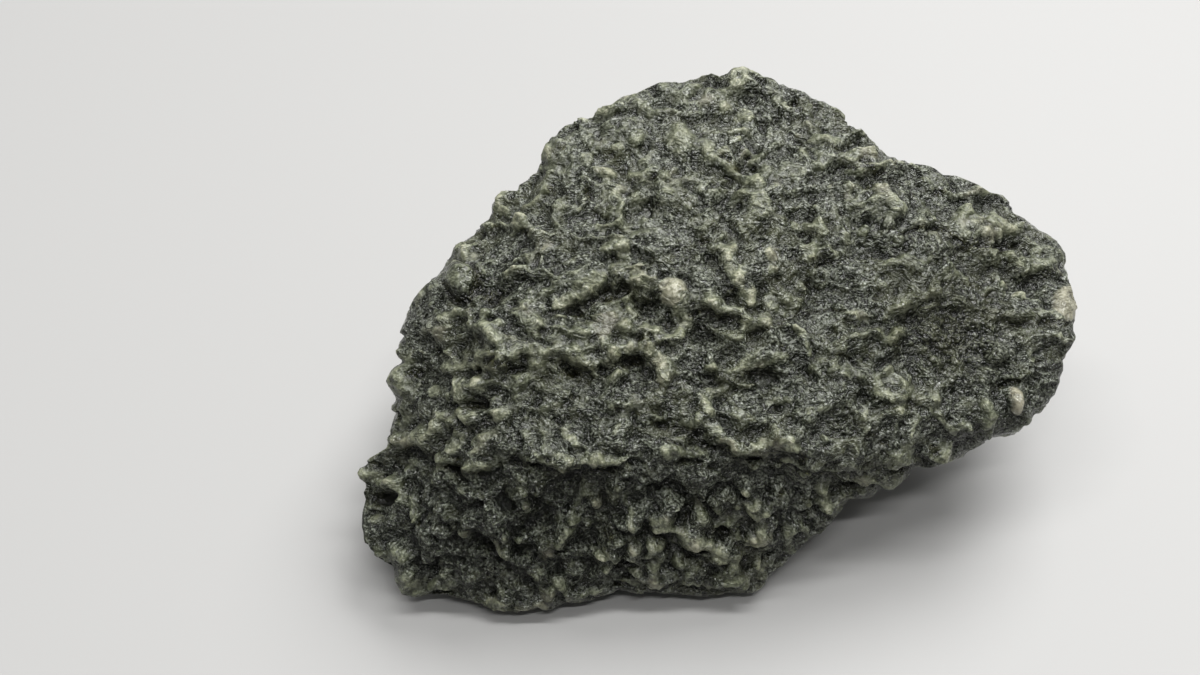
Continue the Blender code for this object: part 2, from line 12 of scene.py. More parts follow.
import bmesh
import bpy
import numpy as np
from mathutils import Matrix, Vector


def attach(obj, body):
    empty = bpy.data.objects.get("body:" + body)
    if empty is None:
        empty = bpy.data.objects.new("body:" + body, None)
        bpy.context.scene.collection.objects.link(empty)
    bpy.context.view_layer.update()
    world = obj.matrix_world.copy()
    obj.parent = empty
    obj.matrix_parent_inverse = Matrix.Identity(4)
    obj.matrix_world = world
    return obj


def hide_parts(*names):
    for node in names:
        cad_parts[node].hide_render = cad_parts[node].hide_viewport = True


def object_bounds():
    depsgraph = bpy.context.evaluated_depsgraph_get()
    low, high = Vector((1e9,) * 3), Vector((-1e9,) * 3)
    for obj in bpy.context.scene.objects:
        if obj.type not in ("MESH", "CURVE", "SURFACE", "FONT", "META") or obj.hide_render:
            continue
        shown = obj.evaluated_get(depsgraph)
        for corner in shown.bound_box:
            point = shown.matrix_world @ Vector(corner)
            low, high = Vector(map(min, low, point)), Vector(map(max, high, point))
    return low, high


NAME = "meteorite_crust"
MM = 0.001

# Viewing frame: tilt of the line of sight, distance of the eye, point looked at
SIGHT_TILT = math.radians(50.0)
EYE_DISTANCE = 266.7
FRAME_CENTRE = np.array((-19.9, -7.1, 33.0))
AXIS_U = np.array((1.0, 0.0, 0.0))
AXIS_V = np.array((0.0, math.sin(SIGHT_TILT), math.cos(SIGHT_TILT)))
AXIS_W = np.array((0.0, -math.cos(SIGHT_TILT), math.sin(SIGHT_TILT)))

# Outline of the lump as (u, v), clockwise from the top knob
OUTLINE = (
    (23.0, 43.6), (25.5, 42.4), (28.5, 41.3), (30.0, 40.2), (32.7, 39.5), (34.0, 38.4),
    (36.0, 38.0), (38.7, 36.4), (40.2, 34.2), (41.8, 33.6), (44.0, 31.3), (46.0, 29.2),
    (50.0, 28.1), (53.0, 27.6), (55.0, 26.1), (57.0, 26.0), (60.5, 24.6), (62.5, 23.3),
    (64.5, 22.9), (65.8, 21.6), (66.2, 19.9), (68.3, 19.2), (70.0, 17.6), (73.5, 15.6),
    (74.7, 13.6), (74.6, 11.3), (75.7, 7.5), (76.7, 4.2), (76.2, 2.0), (76.4, -0.3),
    (74.7, -2.7), (74.3, -5.5), (73.0, -9.0), (71.5, -12.0), (69.0, -14.2), (66.5, -15.6),
    (62.5, -16.5), (60.0, -17.9), (57.7, -19.6), (54.0, -20.8), (52.5, -21.0), (50.2, -20.6),
    (49.6, -22.2), (47.0, -24.5), (44.5, -24.7), (43.3, -25.9), (40.2, -26.0), (38.0, -28.5),
    (35.5, -31.5), (34.0, -31.9), (32.0, -34.0), (29.8, -36.3), (27.5, -38.0), (26.5, -39.8),
    (24.0, -41.4), (21.0, -41.0), (16.5, -41.8), (12.0, -41.2), (7.0, -41.3), (3.0, -40.8),
    (0.5, -41.8), (-3.0, -42.7), (-6.5, -43.7), (-10.0, -43.9), (-15.0, -44.4), (-18.0, -43.9),
    (-21.0, -42.6), (-25.0, -41.5), (-28.0, -42.1), (-31.8, -41.4), (-33.2, -38.6),
    (-34.0, -36.6), (-36.3, -35.0), (-37.8, -33.0), (-38.4, -29.5), (-38.0, -24.0),
    (-39.0, -21.8), (-37.9, -19.8), (-34.8, -18.0), (-33.7, -15.0), (-32.9, -12.3),
    (-33.9, -11.7), (-33.0, -9.8), (-34.4, -7.0), (-32.8, -3.8), (-32.8, -1.0), (-31.7, 2.0),
    (-30.0, 6.2), (-28.0, 8.5), (-25.2, 11.0), (-23.3, 14.8), (-20.5, 16.5), (-18.3, 19.0),
    (-16.8, 22.6), (-15.8, 23.6), (-13.8, 23.8), (-10.2, 26.6), (-9.8, 28.5), (-8.4, 32.0),
    (-6.5, 33.3), (-3.8, 35.4), (-1.4, 35.5), (-0.5, 37.0), (1.8, 37.4), (3.5, 38.7),
    (6.0, 39.3), (9.5, 41.0), (13.5, 41.1), (17.5, 42.5), (19.3, 42.1), (21.5, 43.4),
)
OUTLINE_CENTRE = (19.0, -2.0)
# Softening of the outline for the plain block, in steps to either side; outer band that is
# moved onto the outline, and its grip in depth, for the plain block and for the finished one;
# slots round the edge in which it is found, and rounds of evening
OUTLINE_SOFTENING = math.radians(9.0)
SOFTENING_STEPS = 9
EDGE_BANDS = (0.6, 0.88)
EDGE_GRIP = (12.0, 3.5)
EDGE_SLOTS = 300
EDGE_EVENING = 4

# Depth of the rim at the outline's middle and per millimetre of u and v
RIM_DEPTH = -4.0
RIM_LEAN = (0.03, -0.22)

# Swell in front of and behind the rim: depth, fullness across and in depth, narrowing
FRONT_SWELL = (17.0, 0.62, 0.85, 0.0)
BACK_SWELL = (62.0, 0.50, 0.95, 0.28)

# Broken faces of the broad side: outward direction and a point, as (u, v, w)
FRONT_FACES = (
    ((0.02, 0.27, 0.96), (15.0, -20.0, 11.0)),
    ((0.04, 0.46, 0.89), (12.0, 17.0, 0.8)),
    ((0.05, -0.50, 0.86), (0.0, -21.0, 11.0)),
    ((0.22, 0.08, 0.97), (52.0, 0.0, 4.5)),
    ((-0.56, 0.06, 0.83), (-21.0, 2.0, 5.0)),
    ((-0.38, -0.42, 0.82), (-25.0, -28.0, 5.0)),
    ((0.30, -0.62, 0.72), (38.0, -24.0, 4.0)),
    ((-0.36, 0.55, 0.75), (-6.0, 27.0, -6.0)),
    ((0.32, 0.55, 0.77), (48.0, 24.0, -7.0)),
)

# Broken faces of the hidden sides: outward direction and a point, as (x, y, z)
HIDDEN_FACES = (
    ((0.55, 0.05, -0.83), (19.0, 0.0, 0.0)),
    ((0.42, -0.45, -0.79), (22.0, -22.0, 0.0)),
    ((-0.72, -0.05, -0.69), (-44.0, 0.0, 0.0)),
    ((0.05, 0.93, -0.37), (0.0, 24.0, 0.0)),
    ((0.62, 0.60, -0.50), (33.0, 20.0, 8.0)),
    ((-0.62, 0.66, -0.42), (-33.0, 18.0, 4.0)),
    ((0.10, 0.97, 0.22), (0.0, 41.0, 40.0)),
    ((-0.60, 0.75, 0.28), (-30.0, 27.0, 30.0)),
    ((0.66, 0.70, 0.25), (40.0, 27.0, 34.0)),
    ((0.26, 0.03, -0.97), (6.0, 0.0, 0.0)),
    ((-0.24, 0.02, -0.97), (-37.0, 0.0, 0.0)),
    ((0.02, -0.34, -0.94), (0.0, -29.0, 0.0)),
    ((-0.04, 0.26, -0.97), (0.0, 11.0, 0.0)),
)
REST_FACE = ((0.0, 0.0, -1.0), (0.0, 0.0, 0.0))

# Fineness of the ball that the block starts from; then the even skin over the broken faces: its
# step, the rounds of wear of its edges, its refinement
BALL_FINENESS = 6
SKIN_STEP = 1.5
SKIN_WEAR = 7
SKIN_REFINEMENT = 2

# Ledges: height, tint of the lip, then the line of the lip as (u, v) from left to right
LEDGES = (
    (2.6, 0.40, ((-31, -17.5), (-27, -18.5), (-21, -20.5), (-16, -21), (-12, -20.5))),
    (3.2, 0.75, ((-9, -20.5), (-5, -21), (0, -21), (3, -20.5))),
    (2.2, 0.50, ((9, -14), (14, -15), (19, -17), (24, -18.4), (30, -18.8))),
    (1.6, 0.30, ((28, -21), (33, -22), (38, -22), (44, -20.6), (51, -20.4))),
    (1.6, 0.60, ((40, -24.3), (46, -24))),
    (2.8, 0.75, ((-16, -3.6), (-12, -4.4), (-6, -4.9), (0, -4.5), (3, -3.6))),
    (2.2, 0.65, ((-4, 5.2), (-1, 6.6), (2, 8.2), (4.5, 8.6), (7, 7.8))),
    (1.8, 0.60, ((4, -2.4), (7, -2.6), (8.6, -4.2))),
    (1.4, 0.50, ((14, 3.8), (17, 4.4), (21, 3.4), (25, 0.6))),
    (1.5, 0.35, ((38, 15.8), (42, 16.8), (46, 16.6))),
    (2.4, 0.55, ((48, 17), (51, 18.2), (54, 18.1), (56.5, 16), (60, 14.8), (66, 15.2))),
    (1.3, 0.40, ((38, 28), (41, 27), (45.5, 26.4))),
    (1.4, 0.35, ((2, 20), (5, 20.8), (9, 21.6))),
    (1.3, 0.45, ((8, 24.2), (14, 24.4), (18, 24.3), (23, 25.6))),
    (1.5, 0.30, ((18, -6), (22, -5.8), (28, -5.2))),
    (1.3, 0.45, ((40, 3), (43, 1.2), (47, -0.8), (51, -0.6))),
    (1.3, 0.35, ((49, 4.4), (54, 4.8), (59, 5))),
    (1.3, 0.45, ((65, 3), (68, 2.4), (71, 3))),
    (1.3, 0.25, ((56, -4.6), (61, -4.4), (66, -4))),
)

# Ridges: width, height, tint, then their line as (u, v)
RIDGES = (
    (1.5, 1.5, 0.75, ((-32, -17.2), (-28.5, -16.8), (-26, -15.5), (-22.5, -12.6), (-20.5, -13))),
    (1.3, 1.4, 0.80, ((-20.7, -13.5), (-21.6, -15.8), (-23.3, -18.6))),
    (1.6, 1.6, 0.55, ((-37.5, -21.5), (-34, -22.5), (-32.3, -24), (-31.3, -26.5), (-30.5, -28.5))),
    (1.5, 1.2, 0.50, ((-34.5, -34.2), (-32.5, -35.3), (-30.5, -34.8))),
    (1.7, 1.2, 0.50, ((-33, -40), (-29, -40.8), (-25, -40.3))),
    (1.2, 0.6, 0.32, ((-2.4, -26), (-3.5, -28.5), (-4.6, -30.6), (-6.8, -33), (-9, -35),
                      (-9.8, -37.5))),
    (1.9, 1.3, 0.80, ((8.5, -30.5), (10.5, -29.2), (12.5, -31), (14.5, -33.5), (17.5, -34.2),
                      (21.5, -36))),
    (1.2, 1.0, 0.42, ((16, -28), (18.4, -30.4), (22, -29.7))),
    (1.3, 1.3, 0.75, ((24.5, -28), (25.2, -30), (25.6, -31.6))),
    (2.2, 1.5, 0.62, ((-18, 1.7), (-15.5, -1.4), (-13, -3), (-9, -3.9), (-4, -4.2), (0, -3.6))),
    (2.4, 1.1, 0.50, ((-11, 0.4), (-7, -0.6), (-3, -1.6))),
    (1.6, 1.3, 0.80, ((-24, -5.2), (-21.5, -4.1), (-18.5, -4.2), (-16.5, -5.2))),
    (1.6, 1.4, 0.80, ((-22.4, -9.8), (-22, -8.2), (-19.5, -8.4))),
    (1.7, 1.3, 0.75, ((-6, 5), (-2, 7.6), (1, 9.8), (3.6, 11))),
    (1.4, 1.3, 0.80, ((3, 14.6), (4.2, 11.8), (5.4, 9.3), (8, 7.6))),
    (1.7, 1.5, 0.70, ((5.5, 4.5), (6.8, 2.2), (9.4, -0.4))),
    (1.9, 1.5, 0.65, ((5, 1.8), (3.6, -0.6), (2.8, -3))),
    (1.9, 1.6, 0.90, ((4.5, -2.2), (7.4, -1.8), (9.3, -3.6), (10, -6.4))),
    (1.6, 1.3, 0.70, ((12.8, 3.6), (13, 1.4), (11.6, -0.2), (9.8, 0.8))),
    (1.5, 1.3, 0.85, ((20, 14.2), (20.4, 11.4), (22, 8.8), (23.4, 6.2))),
    (1.3, 1.2, 0.85, ((27.4, 13.4), (27.6, 10.6))),
    (1.4, 1.2, 0.80, ((19.2, -8.6), (17.6, -9.4), (17.6, -12.4))),
    (1.4, 1.1, 0.50, ((19.6, -7.8), (21.4, -5.4), (25, -4.4), (29, -3))),
    (1.4, 1.1, 0.60, ((27, 5.2), (29.4, 4.2), (31.8, 6))),
    (1.5, 1.2, 0.65, ((33, 14), (36, 14.9), (38.4, 13.8))),
    (1.6, 1.3, 0.60, ((40, 22), (41.6, 20.4), (43.6, 20.6), (46, 19.4))),
    (1.6, 1.3, 0.75, ((44.6, -8.8), (47.4, -9.7), (49.8, -8.5), (51.2, -9.4))),
    (1.4, 1.1, 0.70, ((46.6, -6.4), (49.8, -8.3))),
    (1.6, 1.1, 0.55, ((47, 3.4), (50, 5.6), (54, 6), (58, 6))),
    (1.5, 1.1, 0.50, ((67, 11.8), (71, 11.6), (74, 13))),
    (1.4, 1.1, 0.45, ((60.6, -10.4), (61.6, -13), (62.6, -15))),
)

# Lumps: middle (u, v), half width and half height, turn in degrees, height, tint
LUMPS = (
    ((-22.4, 9.4), (2.4, 2.4), 20, 2.8, 0.35),
    ((-22.0, 14.0), (1.8, 1.8), 0, 1.1, 0.80),
    ((-32.8, -7.0), (2.4, 3.4), 0, 2.2, 0.60),
    ((-37.6, -21.2), (1.7, 1.7), 0, 1.4, 0.55),
    ((-31.0, -38.9), (2.3, 2.2), 0, 1.4, 0.45),
    ((-16.4, -12.6), (2.6, 1.6), 10, 1.0, 0.75),
    ((-20.0, -20.4), (1.7, 1.5), 0, 1.2, 0.60),
    ((-7.0, -40.4), (3.2, 2.0), 0, 1.4, 0.40),
    ((-16.0, -43.0), (2.0, 1.4), 0, 1.2, 0.85),
    ((0.2, -34.2), (2.0, 1.4), 0, 1.2, 0.75),
    ((12.0, -32.6), (3.2, 2.6), -20, 0.9, 0.55),
    ((25.6, -33.2), (2.5, 1.8), 10, 1.7, 0.90),
    ((20.5, -38.2), (3.0, 2.4), 0, 1.2, 0.35),
    ((11.6, 6.8), (3.3, 2.9), -30, 2.2, 0.96),
    ((2.0, 14.6), (2.4, 1.5), 0, 1.1, 0.75),
    ((1.0, 27.3), (2.4, 1.8), 0, 1.0, 0.90),
    ((13.0, 31.2), (3.6, 2.6), 0, 1.0, 0.62),
    ((22.0, 41.0), (2.2, 2.4), 0, 1.3, 0.75),
    ((-16.0, 22.0), (2.0, 1.8), 0, 1.2, 0.85),
    ((-13.0, 18.7), (1.8, 1.5), 0, 1.2, 0.80),
    ((-8.0, 29.6), (1.9, 1.5), 0, 0.9, 0.75),
    ((34.8, 17.2), (2.4, 1.5), -10, 1.3, 0.65),
    ((42.4, 29.2), (2.8, 1.6), -20, 1.0, 0.55),
    ((36.0, 31.6), (2.8, 1.4), 0, 0.9, 0.60),
    ((46.5, 1.0), (4.2, 2.2), 0, 1.1, 0.60),
    ((24.8, 2.0), (3.0, 1.4), 0, 1.0, 0.60),
    ((30.5, -18.0), (2.8, 1.3), 0, 1.1, 0.65),
    ((58.5, 18.6), (2.8, 2.4), -30, 1.1, 0.60),
    ((63.0, 17.6), (3.4, 2.0), -20, 1.1, 0.60),
    ((60.5, 22.8), (2.0, 1.5), -20, 1.0, 0.60),
    ((74.8, 5.2), (2.4, 3.4), 0, 1.2, 0.97),
    ((66.6, -10.2), (1.7, 2.4), 0, 1.6, 1.00),
    ((48.2, -18.3), (2.8, 1.8), 0, 1.1, 0.45),
    ((55.2, -18.2), (2.6, 1.4), 0, 1.4, 0.65),
    ((47.6, -22.8), (2.2, 1.6), 0, 1.2, 0.40),
    ((36.0, -26.0), (1.6, 2.2), 0, 1.0, 0.70),
    ((-24.5, -30.0), (4.6, 3.2), 20, 1.3, -1.0),
    ((-15.0, -32.5), (3.8, 3.4), -20, 1.1, -1.0),
    ((-21.0, -38.0), (3.4, 2.4), 0, 1.1, -1.0),
    ((4.2, -29.5), (3.8, 3.0), 30, 1.2, -1.0),
    ((6.8, -34.0), (3.0, 2.2), 0, 1.1, -1.0),
    ((14.0, -37.8), (3.4, 2.0), 0, 1.0, -1.0),
    ((31.6, -31.5), (2.0, 3.2), -30, 1.1, -1.0),
)

# Hollows and pits, with painted shade in them: middle (u, v), half width and half height, turn in
# degrees, depth
HOLLOWS = (
    ((-34.8, -25.4), (2.6, 1.5), 0, 2.6),
    ((-17.4, 7.0), (4.4, 3.2), 10, 3.2),
    ((-22.4, 5.9), (3.0, 1.5), 0, 1.4),
    ((-29.6, -6.0), (2.6, 3.0), 0, 1.6),
    ((-19.6, -10.8), (2.8, 1.4), 0, 1.8),
    ((-5.0, -24.0), (6.5, 3.4), 0, 1.8),
    ((-16.5, -23.0), (5.5, 3.0), 0, 1.4),
    ((22.5, -21.6), (7.5, 3.6), -8, 1.8),
    ((3.6, -37.0), (2.6, 2.2), 0, 1.6),
    ((20.0, -32.4), (2.1, 1.9), 0, 1.8),
    ((6.2, -4.6), (2.4, 2.6), 0, 0.9),
    ((5.9, -0.6), (1.5, 1.2), 0, 1.2),
    ((6.6, 5.4), (3.0, 2.4), 0, 1.4),
    ((17.0, 1.4), (4.2, 3.0), 0, 1.3),
    ((21.0, 7.2), (1.8, 1.3), 0, 1.2),
    ((23.4, 27.0), (3.2, 1.7), 0, 1.5),
    ((28.4, 35.0), (3.4, 2.6), 20, 1.2),
    ((12.0, 20.0), (9.0, 4.5), 10, 1.0),
    ((43.0, 14.0), (6.5, 3.4), 0, 1.6),
    ((57.0, 1.0), (17.0, 13.0), -10, 3.0),
    ((62.0, 11.6), (4.6, 2.6), 0, 1.3),
    ((70.2, 9.4), (2.8, 1.8), 0, 1.3),
    ((27.0, -6.8), (3.6, 1.8), 8, 1.2),
    ((42.8, -9.6), (1.6, 2.6), -30, 1.4),
    ((65.0, -8.0), (3.0, 1.6), 30, 1.0),
    ((60.4, -13.4), (1.3, 2.2), 0, 1.2),
    ((48.0, -21.2), (2.2, 1.0), 5, 2.0),
    ((41.8, -24.9), (2.0, 1.0), 0, 1.6),
    ((36.0, -14.0), (7.0, 3.0), 0, 1.2),
    ((32.0, 7.0), (9.0, 5.0), 0, 0.9),
    ((-13.0, -38.4), (3.0, 2.2), 0, 1.4),
    ((-29.0, -33.5), (3.2, 2.6), 30, 1.2),
    ((-9.5, -29.5), (3.4, 3.0), 0, 1.4),
    ((12.0, -24.5), (5.0, 2.2), 0, 1.0),
    ((28.5, -36.6), (1.8, 2.2), 0, 1.0),
)

# Fine ridges: width, height, tint, then their line as (u, v)
FINE_RIDGES = (
    (0.9, 0.7, 0.60, ((5, 26.7), (8, 26))),
    (0.9, 0.7, 0.65, ((10.5, 25.5), (12.2, 26.5))),
    (0.9, 0.6, 0.55, ((21, 21.9), (23, 22.9))),
    (0.9, 0.6, 0.80, ((-22.8, 12), (-22.2, 14.5), (-20, 15.6))),
    (1.0, 0.7, 0.50, ((-22, 10.6), (-19.5, 11))),
    (1.0, 0.7, 0.70, ((-6, -4.3), (-3, -3.9), (0, -3.9), (1.5, -4.8))),
    (1.0, 0.7, 0.70, ((-16.5, -15.5), (-19, -17), (-20, -19))),
    (0.8, 0.6, 0.55, ((-12, -15.5), (-11, -18), (-9.6, -20))),
    (0.8, 0.6, 0.55, ((-9.4, -15.2), (-8.6, -17.5), (-7.8, -19.6))),
    (1.0, 0.8, 0.80, ((-5.5, -15), (-4.2, -17), (-3, -19.5))),
    (1.1, 0.8, 0.80, ((-7.4, -19), (-4, -20), (0, -19.5), (2.4, -20.4))),
    (0.9, 0.4, 0.30, ((-13.5, -23), (-12.5, -26), (-11.5, -28.4))),
    (0.8, 0.6, 0.85, ((-16.7, -33.6), (-16.4, -35.4))),
    (0.9, 0.6, 0.70, ((-13, -43.4), (-11, -43.3), (-9, -43))),
    (0.8, 0.5, 0.60, ((-5, -42.4), (-2, -41.8), (0.5, -41.2))),
    (0.9, 0.8, 0.60, ((0.5, -25.6), (2, -26), (4, -26.3), (5, -28), (4.6, -29.8))),
    (0.9, 0.7, 0.75, ((26.4, -28.6), (26.6, -30.6))),
    (0.9, 0.6, 0.60, ((18, -30.6), (18.2, -33), (19.8, -35))),
    (0.8, 0.6, 0.65, ((4, -40.6), (8, -40.2), (12, -40.1), (18, -40.6))),
    (0.9, 0.6, 0.60, ((11, -15.6), (13, -16.3))),
    (1.0, 0.8, 0.60, ((14.2, -14.4), (16, -13.8), (18, -14.2), (19.4, -15.6))),
    (1.2, 0.8, 0.50, ((11, -19), (13, -18.6), (15.4, -19.2))),
    (1.0, 0.7, 0.80, ((24.5, -17.5), (27, -17.6), (30, -17.1))),
    (1.1, 0.9, 0.70, ((-3, 6.5), (-1, 8), (1, 9.5), (3, 10.6), (4, 11.2))),
    (0.9, 0.7, 0.85, ((3.5, 13.5), (4, 11.5), (5, 9.5), (6, 8.6))),
    (0.9, 0.7, 0.80, ((12.4, 6), (13, 4.6), (13, 3))),
    (0.9, 0.7, 0.70, ((12.6, 3.6), (13.2, 1.6), (12.2, 0), (10.6, -0.2), (9.6, 1))),
    (0.9, 0.7, 0.70, ((5.4, 4.6), (6.4, 2.6), (8, 1), (9.6, -0.4))),
    (1.0, 0.7, 0.70, ((5, 2), (4, 0.4), (3.4, -1), (3, -3), (1.4, -4))),
    (1.1, 0.9, 0.90, ((4, -2.4), (6, -1.8), (8, -2), (9.1, -3.6), (9.6, -5), (10, -6.6))),
    (0.9, 0.7, 0.85, ((19, 15.4), (20.5, 14), (20.1, 12), (21, 10), (22, 8.4), (23, 6.5),
                      (24, 5.4))),
    (1.1, 0.6, 0.60, ((14, 5.8), (16, 5.6), (18, 5.4), (19, 4.6), (22, 4.1))),
    (1.2, 0.7, 0.60, ((23.4, 1.6), (25, 2.3), (27, 2.6))),
    (0.9, 0.7, 0.85, ((19, -9), (17.5, -9), (17.3, -11), (17.8, -12.6))),
    (0.9, 0.6, 0.55, ((19.5, -8), (21, -5.4), (24, -4.4), (27, -3.5), (29.4, -3))),
    (1.0, 0.7, 0.70, ((27.5, 41), (28.4, 38.6), (30, 37.4))),
    (1.2, 0.6, 0.55, ((33, 32.2), (36, 32), (38, 31.2))),
    (1.2, 0.6, 0.55, ((40, 28.8), (42, 29.4), (44, 29.6))),
    (1.0, 0.8, 0.65, ((40.3, 23.2), (41.5, 21.5), (43, 20.8), (45, 20), (46.2, 18.8))),
    (0.9, 0.6, 0.45, ((40, 19), (41, 17.6), (42.4, 17))),
    (0.9, 0.6, 0.55, ((67, 12), (71, 11.2), (74, 13))),
    (0.9, 0.7, 0.60, ((33, 18), (35, 17.4), (36.2, 16.8))),
    (0.9, 0.7, 0.70, ((33.4, 12.6), (34.6, 14), (36.4, 14.8), (38.2, 14))),
    (1.0, 0.6, 0.60, ((55.4, 10.6), (57, 10.8), (59.4, 10.5))),
    (0.9, 0.7, 0.65, ((18, 13.5), (19.5, 15.8), (21.2, 15))),
    (0.9, 0.7, 0.65, ((27, 5.2), (28.8, 4), (30.5, 4.3), (31.9, 6.2))),
    (0.8, 0.6, 0.70, ((31.4, 1.2), (32.6, -0.8), (33.6, -2.7))),
    (1.0, 0.8, 0.70, ((40, 3.8), (42, 3.6), (43.6, 2.5))),
    (0.9, 0.6, 0.60, ((47, 3.6), (49, 5.1), (52, 5.8), (54, 6.1), (55.6, 5.2), (59, 5.6))),
    (1.1, 0.5, 0.50, ((38.4, -5.8), (40, -5.8), (42, -6.2))),
    (0.9, 0.8, 0.80, ((44.5, -8.4), (46, -9.6), (48, -9.5), (49.5, -8.5), (51.2, -9.4))),
    (0.9, 0.7, 0.75, ((46.5, -6.4), (48.6, -7.6), (50.5, -8.8))),
    (0.8, 0.6, 0.70, ((48.2, -10), (47.6, -12.2))),
    (0.9, 0.7, 0.75, ((53.4, -9.4), (54.6, -11.6))),
    (0.8, 0.6, 0.65, ((42.9, -11), (42, -13.2))),
    (1.0, 0.6, 0.60, ((53, -12), (55, -13.2), (57, -15))),
    (0.9, 0.6, 0.60, ((27, -10.6), (30, -9.9))),
    (0.9, 0.6, 0.50, ((66, 3.8), (68.4, 4.2), (70.4, 3.6))),
    (0.9, 0.6, 0.55, ((70, 3.5), (72, 3.8), (73.6, 3))),
    (1.0, 0.7, 0.75, ((42, -23.6), (43.6, -23.3), (45.6, -23.2))),
    (0.9, 0.6, 0.45, ((30.4, -31), (30.8, -33), (30.4, -35))),
    (0.8, 0.6, 0.45, ((32.6, -30.4), (33.4, -32.6))),
    (0.9, 0.6, 0.60, ((60.4, -10.4), (61.6, -12.8), (62.6, -14.6))),
    (0.9, 0.6, 0.65, ((-9, 14.4), (-8, 15.6), (-9.4, 16.2), (-10.2, 15))),
    (0.8, 0.5, 0.60, ((-1, 17.6), (0.2, 18.5), (1.1, 17.5), (0, 16.5))),
    (0.9, 0.6, 0.65, ((-15, 9.8), (-13, 11), (-11.4, 10.6))),
    (0.9, 0.6, 0.60, ((-13.6, 4.6), (-11, 5.4), (-9, 4.8))),
    (0.9, 0.6, 0.60, ((-25, 3), (-23, 4), (-20.6, 3.6))),
    (0.8, 0.6, 0.65, ((-12, 0.6), (-9.6, 1.8), (-7.4, 1.4))),
)

# Fine lumps: middle (u, v), half width and half height, height, tint
FINE_LUMPS = (
    ((-2.8, 35.0), (1.3, 0.8), 0.6, 0.85), ((0.7, 36.4), (1.6, 0.9), 0.6, 0.80),
    ((-15.5, 20.4), (1.6, 0.8), 0.5, 0.80), ((-2.0, 29.3), (1.2, 1.0), 0.7, 0.80),
    ((3.0, 30.8), (1.2, 0.9), 0.6, 0.75), ((7.3, 28.8), (1.1, 0.9), 0.6, 0.70),
    ((19.5, 29.5), (1.2, 0.9), 0.7, 0.85), ((24.0, 29.0), (2.0, 1.3), 0.6, 0.55),
    ((23.0, 36.0), (2.0, 1.5), 0.6, 0.75), ((20.0, 37.0), (1.5, 1.0), 0.6, 0.75),
    ((13.4, 31.4), (2.2, 1.8), 0.7, 0.62), ((16.6, 30.2), (1.6, 1.6), 0.5, 0.70),
    ((-26.5, -8.7), (1.1, 1.1), 0.4, 0.60), ((-16.5, -9.5), (1.3, 0.8), 0.4, 0.65),
    ((-31.0, -20.5), (2.0, 1.2), 0.7, 0.40), ((-26.0, -21.0), (1.5, 1.1), 0.7, 0.50),
    ((-19.5, -16.5), (1.3, 1.1), 0.7, 0.55), ((-35.5, -28.5), (1.3, 1.0), 0.6, 0.70),
    ((-28.5, -39.0), (1.3, 1.0), 0.6, 0.80), ((-22.0, -32.0), (1.2, 1.0), 0.6, 0.70),
    ((-11.0, -38.5), (1.2, 0.9), 0.6, 0.55), ((-0.5, -27.5), (1.2, 1.0), 0.7, 0.75),
    ((0.5, -37.0), (1.3, 1.0), 0.6, 0.45), ((8.0, -33.0), (1.2, 1.0), 0.6, 0.70),
    ((27.0, -32.0), (1.1, 0.9), 0.7, 0.85), ((26.0, -37.0), (1.2, 1.0), 0.6, 0.70),
    ((22.0, -28.0), (0.9, 0.8), 0.7, 0.90), ((30.2, -20.5), (1.4, 0.8), 0.6, 0.65),
    ((17.5, -4.8), (1.2, 0.9), 0.6, 0.65), ((27.3, 12.8), (1.0, 1.6), 0.7, 0.90),
    ((60.5, 23.0), (1.4, 1.0), 0.6, 0.70), ((58.0, 20.0), (1.6, 1.2), 0.6, 0.60),
    ((61.0, 16.5), (1.8, 1.0), 0.6, 0.60), ((64.0, 18.0), (1.8, 1.3), 0.6, 0.65),
    ((69.5, 13.5), (1.2, 0.9), 0.5, 0.60), ((31.0, 18.5), (1.1, 0.9), 0.7, 0.80),
    ((46.5, 12.5), (1.2, 0.9), 0.6, 0.60), ((52.5, 13.0), (1.4, 0.9), 0.6, 0.55),
    ((67.5, 7.0), (1.2, 1.0), 0.6, 0.60), ((45.5, 9.0), (1.2, 0.9), 0.6, 0.60),
    ((66.5, -10.3), (1.1, 1.7), 0.8, 1.00), ((66.0, -6.5), (1.2, 0.9), 0.6, 0.55),
    ((69.5, -3.0), (1.2, 0.9), 0.6, 0.55), ((58.5, -14.0), (1.5, 1.0), 0.6, 0.45),
    ((48.0, -18.5), (1.8, 1.3), 0.6, 0.45), ((55.5, -19.0), (1.8, 0.8), 0.6, 0.80),
    ((36.0, -26.0), (1.0, 1.5), 0.7, 0.80), ((40.0, -6.0), (1.8, 0.9), 0.5, 0.55),
    ((74.6, 6.4), (1.4, 2.4), 0.6, 0.97), ((32.4, 8.8), (1.3, 0.9), 0.5, 0.55),
    ((44.6, 1.4), (1.8, 1.2), 0.5, 0.60), ((49.4, 1.6), (1.8, 1.3), 0.5, 0.65),
    ((34.0, -12.0), (1.6, 1.0), 0.5, 0.50), ((-20.0, -20.6), (1.3, 1.2), 0.6, 0.60),
    ((-12.6, -33.8), (1.6, 1.2), 0.6, 0.45), ((8.6, -35.6), (2.2, 1.4), 0.5, 0.55),
)
